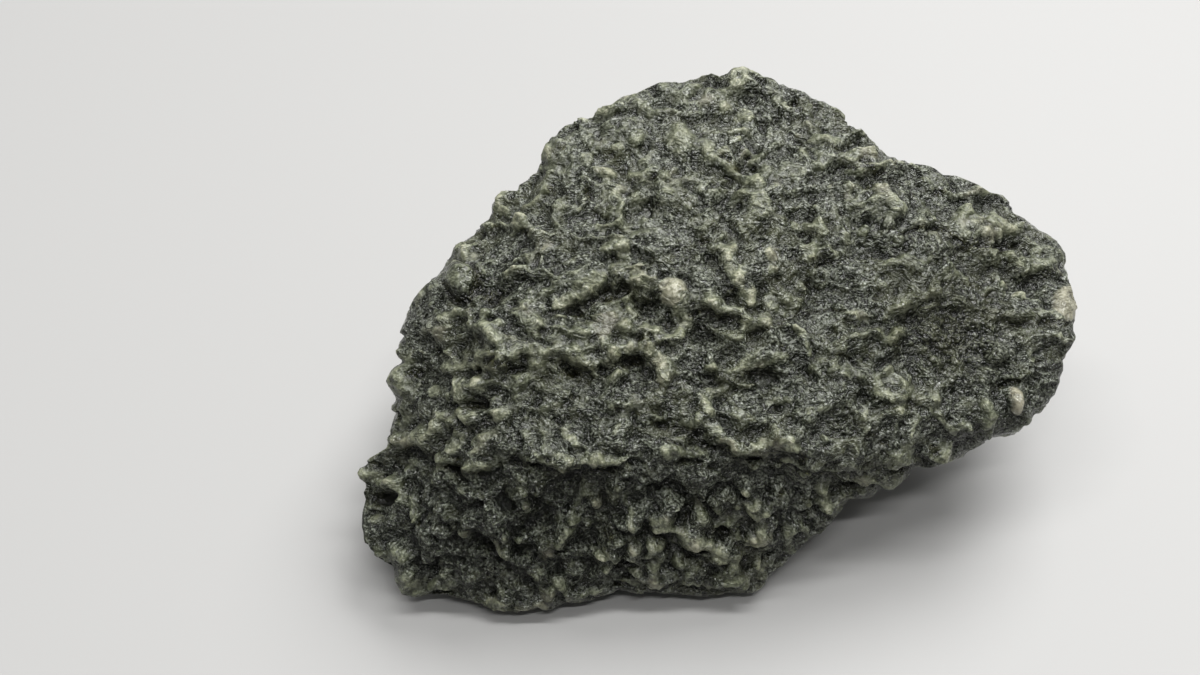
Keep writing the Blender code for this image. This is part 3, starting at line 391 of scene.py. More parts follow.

# Small pits, with painted shade in them: middle (u, v), half width and half height, depth
FINE_PITS = (
    ((10.3, 26.7), (0.8, 0.7), 0.8), ((17.0, 15.9), (1.8, 0.7), 1.0),
    ((22.2, 27.0), (1.4, 0.9), 0.8), ((24.4, 27.4), (0.9, 0.8), 0.8),
    ((-12.0, 17.2), (1.4, 0.6), 0.7), ((6.0, -3.6), (1.5, 1.3), 0.4),
    ((6.0, -0.5), (0.9, 0.8), 0.8), ((-0.5, -2.5), (0.9, 0.8), 0.7),
    ((10.5, 2.4), (1.0, 0.9), 0.9), ((21.0, 7.5), (1.0, 0.8), 0.8),
    ((20.4, 5.5), (0.9, 0.7), 0.7), ((32.5, 17.0), (0.7, 0.6), 0.8),
    ((62.5, 8.0), (1.0, 0.9), 0.9), ((43.0, 24.0), (1.0, 0.7), 0.7),
    ((50.0, 23.0), (1.0, 0.8), 0.7), ((54.0, 23.0), (1.0, 0.8), 0.7),
    ((59.5, 20.0), (0.7, 0.6), 0.7), ((46.5, -21.2), (1.5, 0.6), 0.9),
    ((-20.0, -10.9), (1.8, 0.8), 1.0), ((-34.8, -25.4), (2.4, 1.3), 0.9),
    ((20.0, -32.5), (1.0, 0.9), 1.0), ((3.6, -37.0), (1.3, 1.1), 0.8),
    ((-30.0, -5.8), (1.3, 1.6), 0.9), ((-18.0, 7.4), (2.4, 1.8), 0.8),
    ((1.6, 6.6), (2.4, 0.9), 0.9), ((20.4, 24.2), (1.2, 0.6), 0.6),
    ((-6.0, -22.2), (3.0, 1.0), 1.0), ((0.4, -22.2), (2.6, 0.9), 1.0),
    ((12.6, -20.5), (2.2, 0.4), 0.8), ((24.5, -5.9), (2.4, 0.5), 0.7),
    ((12.0, -14.0), (1.4, 0.6), 0.7), ((-14.0, -5.6), (2.4, 0.8), 0.5),
    ((-4.0, -5.8), (2.0, 0.7), 0.3), ((48.0, -1.2), (2.2, 0.5), 0.7),
)

# Cracks, darkened with painted shade: half width, depth, then their line as (u, v)
CRACKS = (
    (0.5, 0.7, ((48, 16.7), (50, 17.6), (54, 17.5), (55.8, 17), (57, 15.6), (60, 14.2), (66, 14.6))),
    (0.4, 0.5, ((39, 27.8), (41, 26.8), (45, 26.2))),
    (0.4, 0.5, ((37, 30), (38.6, 30.2), (40, 31))),
    (0.5, 0.5, ((34.5, 11.6), (35.6, 12.2), (37, 12.8))),
    (0.4, 0.5, ((53, -0.5), (56.6, -0.8), (60, -0.3))),
    (0.4, 0.6, ((66, 2.7), (68, 2.3), (70, 2.6))),
    (0.5, 0.6, ((29, -21), (34, -22), (36, -23), (39, -22))),
    (0.4, 0.5, ((10.5, -16.6), (12, -17.1))),
    (0.5, 0.5, ((36, -4), (38, -3.1), (40, -2.8), (41, -3.5))),
    (0.5, 0.5, ((33, 4), (35, 4.8), (37, 5), (39, 4.3))),
    (0.5, 0.6, ((64.5, -8), (66, -6.9), (67.5, -7))),
    (0.5, 0.6, ((14, 3.4), (17, 3.9), (19, 3.4))),
    (0.4, 0.5, ((60, 9.8), (62, 9.5), (64, 9.9))),
    (0.4, 0.5, ((71, 2.4), (73, 2.9), (75, 2.2))),
    (0.6, 0.6, ((-25.2, 8.4), (-23.8, 6.7), (-21.4, 6.5), (-19.6, 8.2), (-19.6, 10.6), (-21, 12))),
)

# Waver of the drawn lines: wavelength, reach and seed, for ridges and lumps, for the fine ones,
# and a coarser one for the ledges, so that no lip runs straight
WAVER = (4.5, 0.9, 90)
FINE_WAVER = (2.4, 0.6, 96)
LEDGE_WAVER = (10.0, 1.8, 104)
# Ruggedness of what is drawn: wavelength, reach and seed of each step
RUGGED = ((2.8, 0.6, 100), (1.4, 0.5, 101))

# Ledges: strength, its breaks along the line (wavelength, depth, seed), what ruggedness adds and
# the most it reaches; share of the given height, drop below the lip, and the undercut's depth,
# place and width
LEDGE_STRENGTH = 0.85
LEDGE_BREAKS = (7.0, 0.75, 240)
LEDGE_RUGGED = 0.4
LEDGE_STRONGEST = 1.2
LEDGE_RISE = 0.5
LEDGE_DROP = 0.55
UNDERCUT = (0.35, 0.9, 0.9)
# Lip of a ledge: softness, reach above and below, fade past its ends and raggedness, then the
# cover, width and start of its pale crust
LIP_SOFTNESS = 0.9
LIP_REACH = (9.0, 4.5)
LIP_FADE = 2.5
LIP_RUGGED = 1.3
LIP_COVER = 0.7
LIP_BAND = 1.5
LIP_START = (-0.7, 0.1)
# Painted shade under a ledge: depth, height of a ledge that has it in full, width and start
SHADE_DEPTH = 0.8
SHADE_FULL = 2.4
SHADE_BAND = 1.6
SHADE_START = (-0.1, 0.5)

# Ridges: share of the given height, sharpness of the ridges and of the fine ones, lean down the
# face, raggedness and spread of the sides, wear of the top, and rise of the pale cover
RIDGE_RISE = 0.85
RIDGE_SHARPNESS = (1.0, 0.8)
RIDGE_LEAN = 0.3
RIDGE_RUGGED = 0.7
RIDGE_SPREAD = 0.1
RIDGE_WEAR = 0.6
RIDGE_COVER = 0.9
# Painted shade at a ridge's foot: depth, place in widths and width, then where it starts below
FOOT_SHADE = (0.5, 1.3, 0.5)
FOOT_START = (0.2, 0.9)

# Lumps: share of the given height, fullness of the lumps and of the fine ones, raggedness and
# rise of their pale cover
LUMP_RISE = 0.95
LUMP_FULLNESS = (0.9, 0.8)
LUMP_RUGGED = 0.4
LUMP_COVER = (0.05, 0.7)
# Hollows and pits: fullness of each, painted shade for a millimetre of depth, pale crust that a
# hollow takes away and that a pit or crack takes away
HOLLOW_FULLNESS = 1.6
PIT_FULLNESS = 1.2
HOLLOW_SHADE = 0.2
HOLLOW_BARES = 0.5
DUG_BARES = 0.8

# Soft patches of the broad side, as middle (u, v), half width and half height, and share: where
# the crust is richer or poorer in pale veins
RICH_PATCHES = (
    ((6, 30), (22, 12), 0.30), ((-12, 14), (11, 13), 0.15), ((-10, -1), (20, 8), 0.36),
    ((10, 4), (15, 9), 0.22), ((48, 0), (9, 6), 0.20), ((58, 19), (15, 6), 0.30),
    ((38, 28), (12, 8), 0.15), ((-27, -14), (9, 8), 0.32), ((18, -34), (16, 7), 0.05),
    ((11, -35), (10, 4.5), 0.25), ((-32, -38), (7, 7), 0.15), ((-20, -31), (16, 9), -0.15),
    ((-8, -25), (24, 5), -0.35), ((21, -21.5), (12, 4.5), -0.40), ((57, 0), (16, 11), -0.25),
    ((14, 15), (12, 6), -0.20), ((38, 8), (11, 6), -0.20), ((36, -14), (10, 5), -0.10),
    ((32, -33), (6, 6), -0.20),
)
# Where the crust is damp, glossier and darker; the darker tint is partly painted shade, most
# towards the bottom of the broad face and least at its top
DAMP_AND_SHADE_PATCHES = (
    ((-20, -31), (24, 13), 0.70), ((8, -30), (26, 9), 0.14), ((22, -23), (14, 5), 0.24),
    ((12, -10), (22, 8), 0.10), ((-18, 4), (8, 10), 0.20), ((60, -2), (14, 12), 0.15),
    ((30, -33), (8, 8), 0.15), ((16, 30), (32, 13), -0.40), ((-6, 3), (20, 7), -0.25),
    ((50, -4), (14, 9), 0.15), ((2, -21), (18, 4), 0.20), ((-17, 6), (6, 5), 0.25),
)
# Where the hummocks are fuller
LUMPY_PATCHES = (
    ((-10, -31), (36, 10), 1.0), ((20, -28), (24, 10), 0.6), ((-26, -14), (9, 8), 0.5),
    ((14, 30), (26, 12), 0.25), ((57, 2), (16, 16), 0.60), ((-18, 4), (12, 14), 0.3),
)
# Where the random relief is calmer, so that a large lump shows
CALM_PATCHES = (
    ((-22.4, 9.4), (3.4, 3.4), 1.3), ((-33.0, -7.0), (3.0, 4.0), 1.0),
    ((11.6, 6.8), (3.2, 2.8), 1.0), ((13.0, 31.2), (4.0, 3.0), 0.8),
    ((74.8, 5.2), (2.8, 3.6), 1.0), ((66.6, -10.2), (2.0, 2.8), 0.8),
)
# Damp and its painted shade everywhere, and what the hidden sides have of pale veins and hummocks
DAMP_AND_SHADE_BASE = 0.25
HIDDEN_RICH = 0.12
HIDDEN_LUMPY = 0.3

# Random relief: wavelength, height, share on the broad side and seed of each swell, then its
# bending (wavelength, reach, seed)
SEED = 4
SWELLS = ((27.0, 1.6, 0.6, 0), (13.0, 1.1, 0.8, 10), (7.0, 0.6, 1.0, 20))
BENDING = (15.0, 3.0, 40)
# Small broken faces of the hidden sides: size, slope, seed of their places and of their leans
BREAKS = (17.0, 0.16, 60, 70)
# Rounded knobs: size, height and seed, share on the broad side and width of the creases
KNOBS = (8.0, 0.9, 80)
KNOB_SHARE = 0.25
KNOB_CREASE = 0.5

# Random veins: warp (wavelength, reach, seed), stretch, then for each level of crests the
# wavelength, height, share of the pale marks and seed
VEIN_WARP = ((6.0, 1.6, 120), (2.4, 0.5, 123))
VEIN_STRETCH = np.array((0.72, 1.0, 1.0))
VEIN_LEVELS = (
    (9.5, 1.2, 0.9, 110), (5.2, 0.75, 0.8, 160), (2.9, 0.35, 0.55, 170), (1.6, 0.25, 0.5, 175),
)
# Crests: lean down the face as a share of their wavelength, width, sharpness, and the height
# that counts as even ground
CREST_LEAN = 0.17
CREST_WIDTH = 0.42
CREST_SHARPNESS = 0.8
CREST_MIDDLE = 0.45
# Pale crust on the crests: patchiness (wavelength, height, seed) and its share, cover, and
# where it starts and is full
PATCH = (13.0, 0.25, 130)
PATCH_SHARE = 0.6
VEIN_COVER = 0.9
VEIN_FADE = (0.45, 0.85)
# Tint of the random crests, then wavelength, height and seed of what changes it
HUE_BASE = 0.42
HUE_SWELLS = ((7.8, 0.3, 131), (1.6, 0.3, 132))
# Hummocks with creases between them: wavelength, height and seed, share outside the lumpy
# patches, height where they are cut off, and the height that counts as even ground
HUMMOCKS = ((7.5, 2.6, 210), (3.9, 2.0, 220), (2.0, 0.8, 230))
HUMMOCK_SHARE = 0.35
HUMMOCK_TOP = 0.9
HUMMOCK_MIDDLE = 0.35
# Knots and pits: spacing, size in spacings, height, seed of their places and of the draw, draws
# above which a knot and below which a pit is made, cover of a knot, its rise and its lighter
# tint, and depth of a pit
KNOTS = (3.8, 0.24, 0.45, 180, 187)
KNOT_DRAW = 0.8
PIT_DRAW = 0.3
KNOT_COVER = 0.8
KNOT_RISE = 0.7
KNOT_TINT = 0.15
PIT_DEPTH = 0.6
# Share of veins, hummocks and knots on the broad side, against 1 on the hidden ones
GROWN_SHARE = 1.15
# Mottling of the pale crust: wavelength, depth and seed of each step
MOTTLING = ((3.0, 0.35, 200), (1.3, 0.5, 205))

# Crystalline grain: direction of the fibres and how far they are drawn out, swirl (wavelength,
# reach, seed), then wavelength, height and seed of each step
FIBRE_ALONG = (0.93, 0.25, 0.28)
FIBRE_DRAWN = 0.6
GRAIN_SWIRL = (6.0, 1.2, 150)
GRAINS = ((1.1, 0.18, 141), (0.75, 0.12, 142))

# Facing the eye, from 1 straight on to 0 edge on: where the broad side begins and is full, where
# what is drawn begins and is full, where the relief is calmer near the rim and by how much, and
# the least share that counts
FACING_FADE = (0.0, 0.35)
DRAWN_FADE = (-0.05, 0.15)
RIM_FADE = (0.0, 0.4)
RIM_CALM = 0.5
LEAST = 0.001
# Height above the rest where the relief begins and is full, and the most that it reaches
REST_FADE = (0.4, 3.5)
HIGHEST = 3.5
# Rounds of evening that tell a hollow from a crest, and pale crust on what is raised: share of
# the rich and the lumpy patches, start and end, and cover
HOLLOW_ROUNDS = 40
RAISED_RICH = 0.9
RAISED_LUMPY = 0.5
RAISED_FADE = (0.3, 0.9)
RAISED_COVER = 0.75
# Pale crust that painted shade takes away, and that a hollow takes away from start to end
SHADE_BARES = 0.7
LOW_BARES = 0.8
LOW_FADE = (0.1, 0.6)
# Share of the grain that pale crust takes away
PALE_SMOOTHS = 0.5

# Share of thinning from the hidden sides to the broad side, and the triangles left
THINNING = (1.0, 0.6, 0.3, 0.1)
FACES_LEFT = 196000

# Flat map of the surface: way out, way across and way up of each chart as (u, v, w), then
# its left, bottom, right and top on the map
CHARTS = (
    ((0, 0, 1), (1, 0, 0), (0, 1, 0), (0.0, 0.44, 1.0, 1.0)),
    ((0, 0, -1), (-1, 0, 0), (0, 1, 0), (0.0, 0.0, 0.56, 0.44)),
    ((0, 1, 0), (1, 0, 0), (0, 0, -1), (0.56, 0.29, 1.0, 0.44)),
    ((0, -1, 0), (1, 0, 0), (0, 0, 1), (0.56, 0.145, 1.0, 0.29)),
    ((1, 0, 0), (0, 1, 0), (0, 0, 1), (0.56, 0.0, 0.78, 0.145)),
    ((-1, 0, 0), (0, -1, 0), (0, 0, 1), (0.78, 0.0, 1.0, 0.145)),
)
CHART_GAP = 0.006
MAP_NAME = "OFBake"
SMOOTH_PLACE = "smooth_place"
SMOOTH_WAY = "smooth_way"

# Names of the marks on the mesh: pale crust, tint, painted shade, and damp with its painted
# shade; facing; hollows
VEIN_AND_SHADE_MARKS = "vein_and_shade_marks"
FACING_MARKS = "facing_marks"
HOLLOW_MARKS = "hollow_marks"

# Noises of the material over places in millimetres: scale, detail, roughness and seed
NOISES = {
    "wind": (0.22, 2.0, 0.6, 0.0),
    "fibrous": (1.4, 2.0, 0.7, 1.0),
    "grainy": (1.55, 2.0, 0.7, 4.0),
    "crumb": (0.75, 1.0, 0.5, 6.0),
    "mid": (0.5, 2.0, 0.55, 2.0),
    "broad": (0.11, 3.0, 0.55, 3.0),
    "grit": (2.4, 1.0, 0.5, 7.0),
    "warm": (0.16, 2.0, 0.5, 5.0),
}
# Fibres of the material: reach of the wind that bends them, their turn and their scale, and the
# damp, with its painted shade, over which they give way to grains; then how far the seams between
# crumbs are spread, and the scale of the flecks, a few of which are painted glints
WIND_REACH = 6.0
FIBRE_TURN = (0.0, math.radians(17.0), math.radians(-15.0))
FIBRE_SCALE = (0.5, 1.1, 1.1)
GRANULAR = (0.2, 0.8)
SEAM_SPREAD = 4.0
FLECK_SCALE = 2.3

# Dark crust: its colours from dark to light, its lightness and what each noise adds, then the
# dark seams between crumbs
DARK_STOPS = (
    (0.0, (0.011, 0.0125, 0.006)), (0.25, (0.045, 0.050, 0.034)), (0.50, (0.135, 0.145, 0.113)),
    (0.72, (0.215, 0.228, 0.188)), (0.90, (0.31, 0.325, 0.280)), (1.0, (0.42, 0.43, 0.385)),
)
DARK_BASE = 0.40
DARK_SHARES = {"fine": 1.7, "mid": 0.9, "grit": 2.0, "fleck": 0.42}
SEAM_FADE = (0.25, 0.0)
SEAM_LIGHT = -0.3
# Olive stains, the tint of damp crust, which is partly painted shade, and painted glints as bright
# flecks: their colour, what damp adds, start and end, edge and share
OLIVE = (0.095, 0.099, 0.052, 1.0)
STAIN_SHARES = {"broad": 1.2, "mid": 1.0}
STAIN_FADE = (-0.05, 0.2)
STAIN_DEPTH = 0.45
DAMP_AND_SHADE_TINT = (0.58, 0.60, 0.57, 1.0)
PAINTED_GLINT = (0.42, 0.43, 0.40, 1.0)
GLINT_DAMP = 0.03
GLINT_FADE = (0.93, 0.97)
GLINT_EDGE = (0.55, 0.25)
GLINT_DEPTH = 0.6

# Pale crust: what each noise adds to its cover, where it starts and is full and how far it hides
# the dark crust, its colours from olive to cream, then what noises, raised places and damp add to
# its tint, the darkening by damp being partly painted shade
COVER_SHARES = {"fine": 0.9, "mid": 1.0}
COVER_FADE = (0.0, 1.2)
COVER_DEPTH = 0.74
WAXY_STOPS = (
    (0.0, (0.052, 0.058, 0.031)), (0.3, (0.113, 0.123, 0.076)), (0.55, (0.188, 0.199, 0.128)),
    (0.8, (0.262, 0.270, 0.178)), (1.0, (0.385, 0.378, 0.268)),
)
TINT_SHARES = {"fine": 1.5, "mid": 0.9, "grit": 1.1}
TINT_RAISED = 0.36
TINT_DAMP_AND_SHADE = -0.22
TINT_OFFSET = -0.28
# Warm blush of the pale crust, in random patches and on the lightest tints: start, end and share
PINKISH = (0.40, 0.358, 0.272, 1.0)
BLUSH_PATCHES = (0.57, 0.7, 0.3)
BLUSH_TINTS = (0.93, 0.99, 0.65)

# Painted shade: its tint, what fine noise adds, start and end; then painted light and shade by
# hollowness: the hollowness of a crest and of a hollow in millimetres, the painted light on each,
# and what damp, with its painted shade, adds to a hollow's
SHADE_TINT = (0.34, 0.33, 0.21, 1.0)
DIM_FINE = 0.3
DIM_FADE = (0.2, 1.0)
FORM_RANGE = (-0.5, 0.7)
CREST_LIGHT = 1.15
HOLLOW_LIGHT = 0.38
HOLLOW_DAMP_AND_SHADE = -0.2

# Gloss: roughness and what noise, cover and damp add to it
ROUGH_BASE = 0.19
ROUGH_SHARES = {"mid": 0.4}
ROUGH_COVER = 0.2
ROUGH_DAMP = -0.08
IOR = 1.5
SPECULAR = 0.5

# Bump in millimetres: chips of the dark crust, with what seams, damp and flecks add, then the
# softer pale crust, and what lies under both
CHIP_SHARES = {"fine": 0.74, "grit": 0.3}
CHIP_SEAM = 0.32
CHIP_BASE = 0.85
CHIP_DAMP = 0.75
CHIP_FLECK = 0.05
WAX_SHARES = {"fine": 0.36}
WAX_SEAM = 0.12
UNDER_SHARES = {"mid": 0.6}

# Stage, sky, lamps and camera, in metres
FLOOR_HALF = 3.0
FLOOR_COLOUR = (0.415, 0.412, 0.404)
FLOOR_ROUGHNESS = 0.6
SKY_COLOUR = (1.0, 1.0, 1.0)
# Strength of the sky in front and behind, and how far to either side it changes
SKY_STRENGTH = (0.08, 0.5)
SKY_SPREAD = 0.7
# Lamps: name, place, size, power and shape; all shine at one point
LAMP_AIM = (0.0, 0.0, 0.02)
LAMPS = (
    ("key", (0.32, 0.54, 0.8), (0.6, 0.6), 9.3, "DISK"),
    ("panel", (0.0, 0.05, 0.95), (1.0, 0.09), 5.7, "RECTANGLE"),
    ("spark", (0.05, -0.37, 0.92), (0.5, 0.035), 2.7, "RECTANGLE"),
)
LENS = 50.0
SENSOR = 36.0
NEAREST = 0.01
FARTHEST = 20.0


def from_view(u, v, w):
    """Places points of the viewing frame in space."""
    spread = 1.0 - w / EYE_DISTANCE
    return (FRAME_CENTRE + np.outer(u * spread, AXIS_U) + np.outer(v * spread, AXIS_V)
            + np.outer(w, AXIS_W))


def to_view(points):
    """Gives u, v and w of points in space, u and v as the eye sees them."""
    out = points - FRAME_CENTRE
    w = out @ AXIS_W
    grow = EYE_DISTANCE / (EYE_DISTANCE - w)
    return (out @ AXIS_U) * grow, (out @ AXIS_V) * grow, w


def ease(value, start, end):
    """Smooth step from 0 at the start to 1 at the end."""
    part = np.clip((value - start) / (end - start), 0.0, 1.0)
    return part * part * (3.0 - 2.0 * part)


def lottery(cells, seed):
    """Repeatable numbers from 0 to 1 for whole-number places of a grid."""
    mask = 0xFFFFFFFF
    key = (cells[..., 0] * 73856093) ^ (cells[..., 1] * 19349663) ^ (cells[..., 2] * 83492791)
    key = (key ^ (seed * 2654435761)) & mask
    for shift in (16, 15, 16):
        key = ((key ^ (key >> shift)) * 0x45D9F3B) & mask
    return (key & 0xFFFFFF) / 0xFFFFFF


def swell(points, size, seed):
    """Smooth random rise and fall, about -1 to 1, with the given wavelength."""
    spot = points / size
    cell = np.floor(spot).astype(np.int64)
    part = spot - cell
    fade = part ** 3 * (part * (part * 6.0 - 15.0) + 10.0)
    total = np.zeros(len(points))
    for corner in itertools.product((0, 1), repeat=3):
        slope = np.stack([lottery(cell + corner, seed + axis) * 2.0 - 1.0
                          for axis in range(3)], axis=1)
        weight = np.prod(np.where(corner, fade, 1.0 - fade), axis=1)
        total += weight * np.sum(slope * (part - corner), axis=1)
    return total * 1.7


def scattered(points, size, seed):
    """Nearest and second distances to scattered seeds, in seed spacings, and the nearest seed."""
    spot = points / size
    cell = np.floor(spot).astype(np.int64)
    first = np.full(len(points), 9.0)
    second = np.full(len(points), 9.0)
    nearest = np.zeros((len(points), 3))
    for step in itertools.product((-1, 0, 1), repeat=3):
        place = cell + step
        seat = place + np.stack([lottery(place, seed + axis) for axis in range(3)], axis=1)
        gap = np.linalg.norm(seat - spot, axis=1)
        closer = gap < first
        second = np.where(closer, first, np.minimum(second, gap))
        nearest[closer] = seat[closer]
        first = np.where(closer, gap, first)
    return first, second, nearest


def stirring(points, size, reach, seed):
    """Smooth random steps of the given wavelength and reach, one for each point."""
    return reach * np.stack([swell(points, size, SEED + seed + axis) for axis in range(3)], axis=1)


def line_distance(u, v, line):
    """Distance to a line, the side it is on, how far past its ends, and the rise above it."""
    best = np.full(len(u), 1e9)
    side = np.ones(len(u))
    past = np.zeros(len(u))
    lift = np.zeros(len(u))
    last = len(line) - 2
    for index, (start, end) in enumerate(zip(line[:-1], line[1:])):
        run = np.subtract(end, start).astype(float)
        length = math.hypot(*run)
        run /= length
        du = u - start[0]
        dv = v - start[1]
        along = du * run[0] + dv * run[1]
        over = np.zeros(len(u))
        if index == 0:
            over = np.maximum(over, -along)
        if index == last:
            over = np.maximum(over, along - length)
        on = np.clip(along, 0.0, length)
        gap = np.hypot(du - on * run[0], dv - on * run[1])
        closer = gap < best
        best = np.where(closer, gap, best)
        side = np.where(closer, np.where(dv * run[0] - du * run[1] < 0.0, -1.0, 1.0), side)
        past = np.where(closer, over, past)
        lift = np.where(closer, dv - on * run[1], lift)
    return best, side, past, lift


def mound(u, v, middle, halves, turn, fullness):
    """Rounded mound of height 1 over an ellipse."""
    angle = math.radians(turn)
    du = u - middle[0]
    dv = v - middle[1]
    across = (du * math.cos(angle) + dv * math.sin(angle)) / halves[0]
    up = (dv * math.cos(angle) - du * math.sin(angle)) / halves[1]
    return np.clip(1.0 - across ** 2 - up ** 2, 0.0, None) ** fullness


class Crust:
    """Height of the crust's relief and the marks its colour follows, vertex by vertex."""

    def __init__(self, count):
        """Bare dark crust over a number of vertices."""
        self.base = np.zeros(count)
        self.crest = np.zeros(count)
        self.pale = np.zeros(count)
        self.tint = np.full(count, 0.5)
        self.shade = np.zeros(count)

    def top(self, height):
        """Raises the crest where this one is the highest."""
        self.crest = np.maximum(self.crest, height)

    def paint(self, cover, tint):
        """Lays pale crust over the vertices where it covers more than what lies there."""
        over = cover > self.pale
        self.tint = np.where(over, tint, self.tint)
        self.pale = np.maximum(self.pale, cover)

    def dig(self, depth, cover):
        """Lowers the crust, darkens it with painted shade and takes pale crust away."""
        self.base -= depth * cover
        self.pale *= 1.0 - DUG_BARES * cover
        self.darken(cover)

    def darken(self, cover):
        """Paints shade on the vertices where this covers more than the painted shade that lies
        there.
        """
        self.shade = np.maximum(self.shade, cover)


def on_sheet(u, v):
    """Places of the viewing frame as points of a flat sheet."""
    return np.stack((u, v, np.zeros(len(u))), axis=1)


def bend(u, v, waver):
    """Moves places of the viewing frame a little, so that drawn lines waver."""
    size, reach, seed = waver
    flat = on_sheet(u, v)
    return (u + reach * swell(flat, size, SEED + seed),
            v + reach * swell(flat, size, SEED + seed + 3))


def bell(gap, width):
    """Falls off from 1 on both sides of a line."""
    return np.exp(-(gap / width) ** 2)


def draw_ledges(crust, u, v, rugged):
    """Ledges with a pale lip, an undercut and painted dark olive shade below."""
    u, v = bend(u, v, LEDGE_WAVER)
    flat = on_sheet(u, v)
    size, depth, seed = LEDGE_BREAKS
    carved, place, width = UNDERCUT
    for turn, (rise, tint, line) in enumerate(LEDGES):
        gap, side, past, _ = line_distance(u, v, line)
        out = gap * side + LIP_RUGGED * rugged
        strength = (LEDGE_STRENGTH + depth * swell(flat, size, SEED + seed + turn)
                    + LEDGE_RUGGED * rugged)
        fade = bell(past, LIP_FADE) * np.clip(strength, 0.0, LEDGE_STRONGEST)
        above = np.exp(-gap / LIP_REACH[0])
        below = -LEDGE_DROP * np.exp(-gap / LIP_REACH[1]) - carved * bell(gap - place, width)
        step = ease(out, -LIP_SOFTNESS, LIP_SOFTNESS)
        crust.base += LEDGE_RISE * rise * (below + (above - below) * step) * fade
        crust.paint(LIP_COVER * fade * bell(gap, LIP_BAND) * ease(out, *LIP_START), tint)
        # painted shade: a dark olive band on the crust below the lip
        crust.darken(SHADE_DEPTH * fade * min(1.0, rise / SHADE_FULL) * bell(gap, SHADE_BAND)
                     * ease(-out, *SHADE_START))


def draw_ridges(crust, u, v, rugged, ridges, sharpness):
    """Smooth pale ridges, steeper on their lower side, with painted shade at their foot."""
    depth, place, foot = FOOT_SHADE
    for width, rise, tint, line in ridges:
        gap, _, _, lift = line_distance(u, v, line)
        gap = np.maximum(gap - RIDGE_LEAN * lift + RIDGE_RUGGED * width * rugged
                         - RIDGE_SPREAD * width, 0.0)
        form = np.clip(1.0 - (gap / width) ** 2, 0.0, None) ** sharpness
        crust.top(RIDGE_RISE * rise * form * (1.0 - RIDGE_WEAR * rugged))
        crust.paint(ease(1.0 - gap / width, 0.0, RIDGE_COVER), tint)
        # painted shade: a dark band below the ridge's foot
        crust.darken(depth * bell(gap - place * width, foot) * ease(-lift, *FOOT_START))


def draw_broad_side(crust, u, v):
    """Everything placed on the broad side."""
    flat = on_sheet(u, v)
    rugged = sum(reach * swell(flat, size, SEED + seed) for size, reach, seed in RUGGED)
    bent_u, bent_v = bend(u, v, WAVER)
    fine_u, fine_v = bend(u, v, FINE_WAVER)
    draw_ledges(crust, bent_u, bent_v, rugged)
    draw_ridges(crust, bent_u, bent_v, rugged, RIDGES, RIDGE_SHARPNESS[0])
    draw_ridges(crust, fine_u, fine_v, rugged, FINE_RIDGES, RIDGE_SHARPNESS[1])
    for middle, halves, turn, rise, tint in LUMPS:
        rounded = mound(bent_u, bent_v, middle, halves, turn, LUMP_FULLNESS[0])
        crust.base += LUMP_RISE * rise * rounded
        if tint >= 0.0:
            crust.paint(ease(rounded - LUMP_RUGGED * rugged, *LUMP_COVER), tint)
    for middle, halves, rise, tint in FINE_LUMPS:
        rounded = mound(fine_u, fine_v, middle, halves, 0, LUMP_FULLNESS[1])
        crust.top(rise * rounded)
        crust.paint(ease(rounded - LUMP_RUGGED * rugged, *LUMP_COVER), tint)
    for middle, halves, turn, depth in HOLLOWS:
        dip = mound(bent_u, bent_v, middle, halves, turn, HOLLOW_FULLNESS)
        crust.base -= depth * dip
        # painted shade in the hollow
        crust.darken(HOLLOW_SHADE * depth * dip)
        crust.pale *= 1.0 - HOLLOW_BARES * dip
    # pits and cracks are dug and darkened with painted shade
    for middle, halves, depth in FINE_PITS:
        crust.dig(depth, mound(fine_u, fine_v, middle, halves, 0, PIT_FULLNESS))
    for width, depth, line in CRACKS:
        gap = line_distance(fine_u, fine_v, line)[0]
        crust.dig(depth, ease(1.0 - gap / width, 0.0, 1.0))


def patchwork(u, v, patches):
    """Sum of soft patches of the broad side."""
    total = np.zeros(len(u))
    for middle, halves, share in patches:
        across = (u - middle[0]) / halves[0]
        up = (v - middle[1]) / halves[1]
        total += share * np.exp(-across ** 2 - up ** 2)
    return total


def crests(points, size, seed):
    """Height from 0 to 1 of winding crests with rounded hollows between them."""
    gap = np.abs(swell(points * VEIN_STRETCH, size, seed)) / CREST_WIDTH
    return 1.0 - ease(gap, 0.0, 1.0) ** CREST_SHARPNESS


def mottled(points):
    """Uneven share of about 1, in steps of fine and finer patches."""
    share = np.ones(len(points))
    for size, depth, seed in MOTTLING:
        share += depth * swell(points, size, SEED + seed)
    return share


